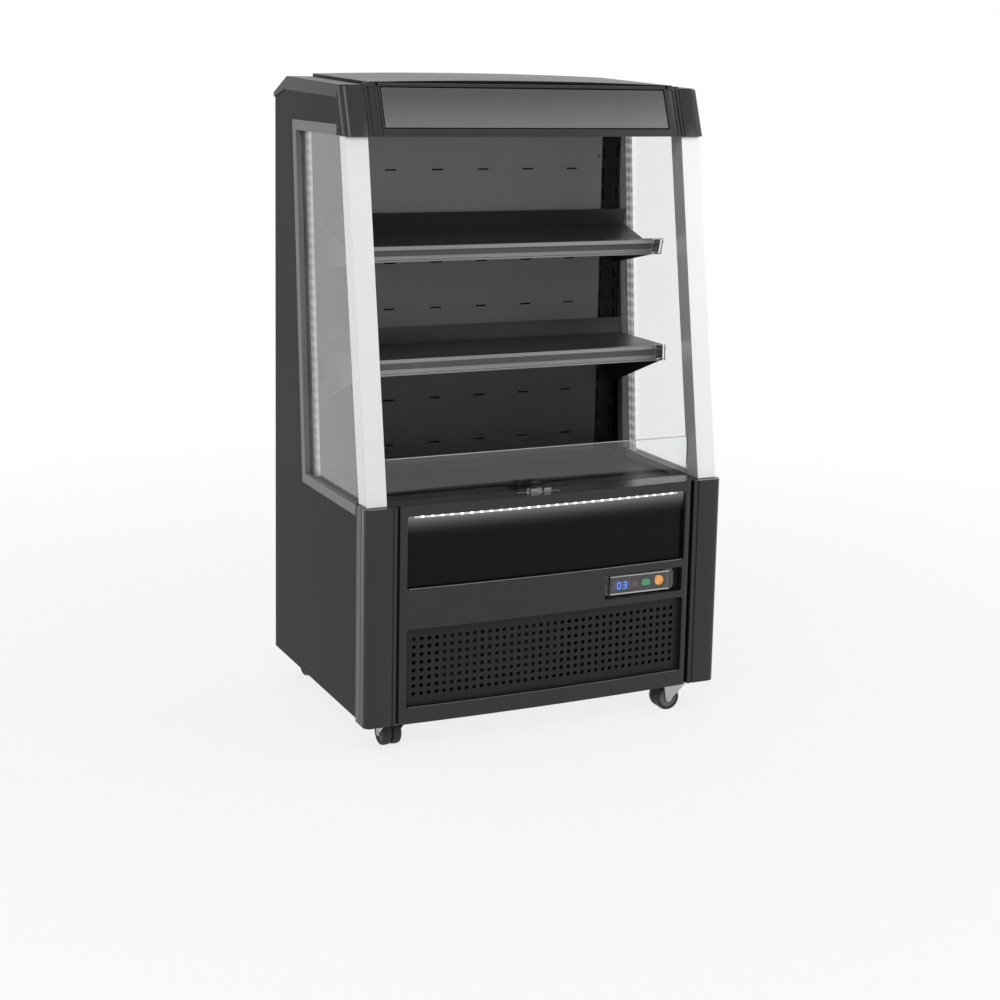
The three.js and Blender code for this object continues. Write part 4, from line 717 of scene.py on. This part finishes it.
def rocker(colour, x, z, width, height, radius):
    """A key with rounded corners, resting tipped about its upright pin."""
    node = f"{colour}_rocker"
    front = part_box(node)[0][1] / MM + Y_SHIFT + width / 2 * math.sin(math.radians(ROCKER_REST))
    outline = []
    for sx, sz, start in ((1, 1, 0), (-1, 1, 90), (-1, -1, 180), (1, -1, 270)):
        for step in range(7):
            angle = math.radians(start + 15 * step)
            outline.append((
                x + sx * (width / 2 - radius) + radius * math.cos(angle),
                z + sz * (height / 2 - radius) + radius * math.sin(angle),
            ))
    cap = prism(f"{node}_cap", outline, "y", front, PIN_Y + 2, colour, node, bevel=0.8, segments=3)
    pin = at(x, PIN_Y, z)
    tip = Matrix.Rotation(-math.radians(ROCKER_REST), 4, "Z")
    cap.data.transform(Matrix.Translation(pin) @ tip @ Matrix.Translation(-pin))
    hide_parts(node)


def cover_rim():
    """Two ridges of the clear cover along its raised front face, drawn in a light opaque colour as
    a painted highlight.
    """
    corners = [vertex.co for vertex in NODES["clear_cover"].data.vertices]
    front = min(corner.y for corner in corners)
    face = [corner for corner in corners if corner.y < front + 0.4 * MM]
    left, right = (pick(corner.x for corner in face) / MM for pick in (min, max))
    bottom, top = (pick(corner.z for corner in face) / MM for pick in (min, max))
    y = front / MM + Y_SHIFT
    for label, z in (("upper", top - 1.5), ("lower", bottom + 1.5)):
        outline = [
            (y + 0.6 - 1.2 * math.sin(math.pi * i / 6), z + 1.3 * math.cos(math.pi * i / 6))
            for i in range(7)
        ]
        prism(f"cover_ridge_{label}", outline, "x", left + 1, right - 1, "edge")


display()
rocker("green", 216.5, 274.0, 18.2, 12.9, 4.5)
rocker("amber", 245.7, 275.1, 17.4, 19.0, 8.2)
cover_rim()


# ---------------------------------------------------------------- riser edge and fastenings

def riser_edge():
    """Rounded bead of polished glass along the top of the riser, drawn in a light opaque colour as
    a painted highlight.
    """
    low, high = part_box("front_glass")
    top = high[2] / MM
    front, rear = low[1] / MM + Y_SHIFT, high[1] / MM + Y_SHIFT
    thick = min(rear - front, 5.0)
    middle = (front + rear) / 2
    outline = []
    for i in range(9):
        angle = math.pi * i / 8
        outline.append((middle + thick / 2 * math.cos(angle), top + 0.1 + 0.9 * math.sin(angle)))
    prism("riser_edge", outline, "x", low[0] / MM + 1, high[0] / MM - 1, "edge")


riser_edge()


def screw(name, place, turn, radius=3.2):
    """A domed head, from (along, radius) points."""
    profile = [
        (0, 0), (0, radius), (0.6, radius), (1.3, radius * 0.82), (1.7, radius * 0.45), (1.8, 0),
    ]
    spun(name, profile, "screw", place, turn, "cabinet", steps=20)


screw("duct_screw_right", at(262, DUCT_FRONT, 1086), TO_FRONT)
screw("duct_screw_left", at(-262, DUCT_FRONT, 1086), TO_FRONT)
screw("deck_knob", at(78, DUCT_FRONT, 464), TO_FRONT, 6.5)
screw("side_screw_left", at(-371.6, 162, 1151), TO_LEFT, 2.4)
screw("side_screw_right", at(371.6, 162, 1151), TO_X, 2.4)
screw("cover_screw_left", at(124.8, 7.4, 276.5), TO_FRONT, 2.6)
screw("cover_screw_right", at(269.2, 7.4, 276.5), TO_FRONT, 2.6)


# ---------------------------------------------------------------- casters

# Profiles as points of distance along the axis and radius
TREAD = [
    (2.0, 17.5), (1.6, 22.5), (3.0, 24.4), (6.0, 25.0), (13.5, 25.0), (17.0, 24.0),
    (18.8, 21.5), (18.8, 18.5), (17.2, 17.5),
]
CORE = [
    (1.5, 3.4), (1.5, 17.4), (17.4, 17.4), (17.4, 16.0), (14.6, 14.6), (14.6, 8.5),
    (17.8, 7.6), (18.6, 3.4),
]
HUB = [(-1.5, 3.4), (-1.5, 17.4), (1.5, 17.4), (1.5, 3.4)]
RACE = [(0.0, 6.0), (0.0, 17.0), (0.25, 18.0), (0.25, 6.0)]


def caster(corner):
    """A twin-tread wheel on its axle, the fork round it and the race that the fork turns on."""
    joint = JOINTS[f"roll_{corner}"]
    centre = Vector(joint["pos_m"])
    turn = TO_X if abs(joint["axis"][0]) > 0.5 else TO_Y
    wheel = f"wheel_{corner}"
    restyle(f"caster_fork_{corner}", "zinc", 0.5)
    first = spun(f"{wheel}_hub", HUB, "hub", centre, turn, wheel, closed=True)
    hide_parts(f"caster_wheel_{corner}")
    for label, sign in (("a", 1), ("b", -1)):
        for part, profile in (("tread", TREAD), ("core", CORE)):
            points = [(along * sign, radius) for along, radius in profile]
            spun(f"{wheel}_{part}_{label}", points, part, centre, turn, wheel, closed=True)
    fork = f"fork_{corner}"
    swivel = Vector(JOINTS[f"swivel_{corner}"]["pos_m"])
    place = Vector((swivel.x, swivel.y, RACE_Z * MM))
    spun(f"{fork}_race", RACE, "zinc", place, TO_Z, fork, closed=True)


for corner in ("front_left", "front_right", "rear_left", "rear_right"):
    caster(corner)


# ---------------------------------------------------------------- studio

def softbox(name, place, size, power, aim=(0, 0, 0.6)):
    data = bpy.data.lights.new(name, "AREA")
    data.shape = "RECTANGLE"
    data.size, data.size_y = size
    data.energy = power
    light = bpy.data.objects.new(name, data)
    light.location = place
    light.rotation_euler = (Vector(aim) - Vector(place)).to_track_quat("-Z", "Y").to_euler()
    bpy.context.scene.collection.objects.link(light)


def larger(tree, a, b):
    node = tree.nodes.new("ShaderNodeMath")
    node.operation = "MAXIMUM"
    tree.links.new(a, node.inputs[0])
    tree.links.new(b, node.inputs[1])
    return node.outputs[0]


def seen(tree):
    """1 for what the camera sees straight, in a gloss or through glass, and 0 for the rest."""
    path = tree.nodes.new("ShaderNodeLightPath").outputs
    shiny = larger(tree, path["Is Glossy Ray"], path["Is Transmission Ray"])
    return larger(tree, path["Is Camera Ray"], shiny)


def studio_world():
    world = bpy.data.worlds.new("studio")
    bpy.context.scene.world = world
    world.use_nodes = True
    tree = world.node_tree
    background = tree.nodes["Background"]
    level = tree.nodes.new("ShaderNodeMapRange")
    for name, strength in zip(("To Min", "To Max"), WORLD_STRENGTH):
        level.inputs[name].default_value = strength
    tree.links.new(seen(tree), level.inputs["Value"])
    tree.links.new(level.outputs["Result"], background.inputs["Strength"])
    background.inputs["Color"].default_value = (1, 1, 1, 1)


def studio_floor():
    """A floor that takes a soft shadow near the cabinet and is plain white further off."""
    bm = bmesh.new()
    bmesh.ops.create_grid(bm, x_segments=8, y_segments=8, size=FLOOR_HALF)
    mesh = bpy.data.meshes.new("floor")
    bm.to_mesh(mesh)
    bm.free()
    floor = bpy.data.objects.new("floor", mesh)
    bpy.context.scene.collection.objects.link(floor)
    n = Nodes("floor")
    n.tree.nodes.remove(n.shader)
    matte = n.add("ShaderNodeBsdfDiffuse")
    matte.inputs["Color"].default_value = (FLOOR_GREY, FLOOR_GREY, FLOOR_GREY, 1)
    white = n.add("ShaderNodeEmission")
    coords = n.add("ShaderNodeTexCoord")
    reach = n.add("ShaderNodeVectorMath", operation="LENGTH")
    n.link(coords.outputs["Object"], reach.inputs[0])
    rim = n.mapped(reach.outputs["Value"], FLOOR_RIM, FLOOR_WHITE)
    mix = n.add("ShaderNodeMixShader")
    n.link(n.maths("MULTIPLY", seen(n.tree), rim), mix.inputs["Fac"])
    n.link(matte.outputs[0], mix.inputs[1])
    n.link(white.outputs[0], mix.inputs[2])
    n.link(mix.outputs[0], n.tree.nodes["Material Output"].inputs["Surface"])
    mesh.materials.append(n.material)


softbox("key", (-2.6, -3.2, 3.4), (2.2, 2.2), 48)
softbox("fill", (3.0, -2.4, 1.8), (2.0, 2.6), 20)
softbox("top", (0.2, 0.4, 3.8), (2.6, 2.0), 30)
studio_world()
studio_floor()
bpy.context.scene.view_settings.view_transform = "Standard"
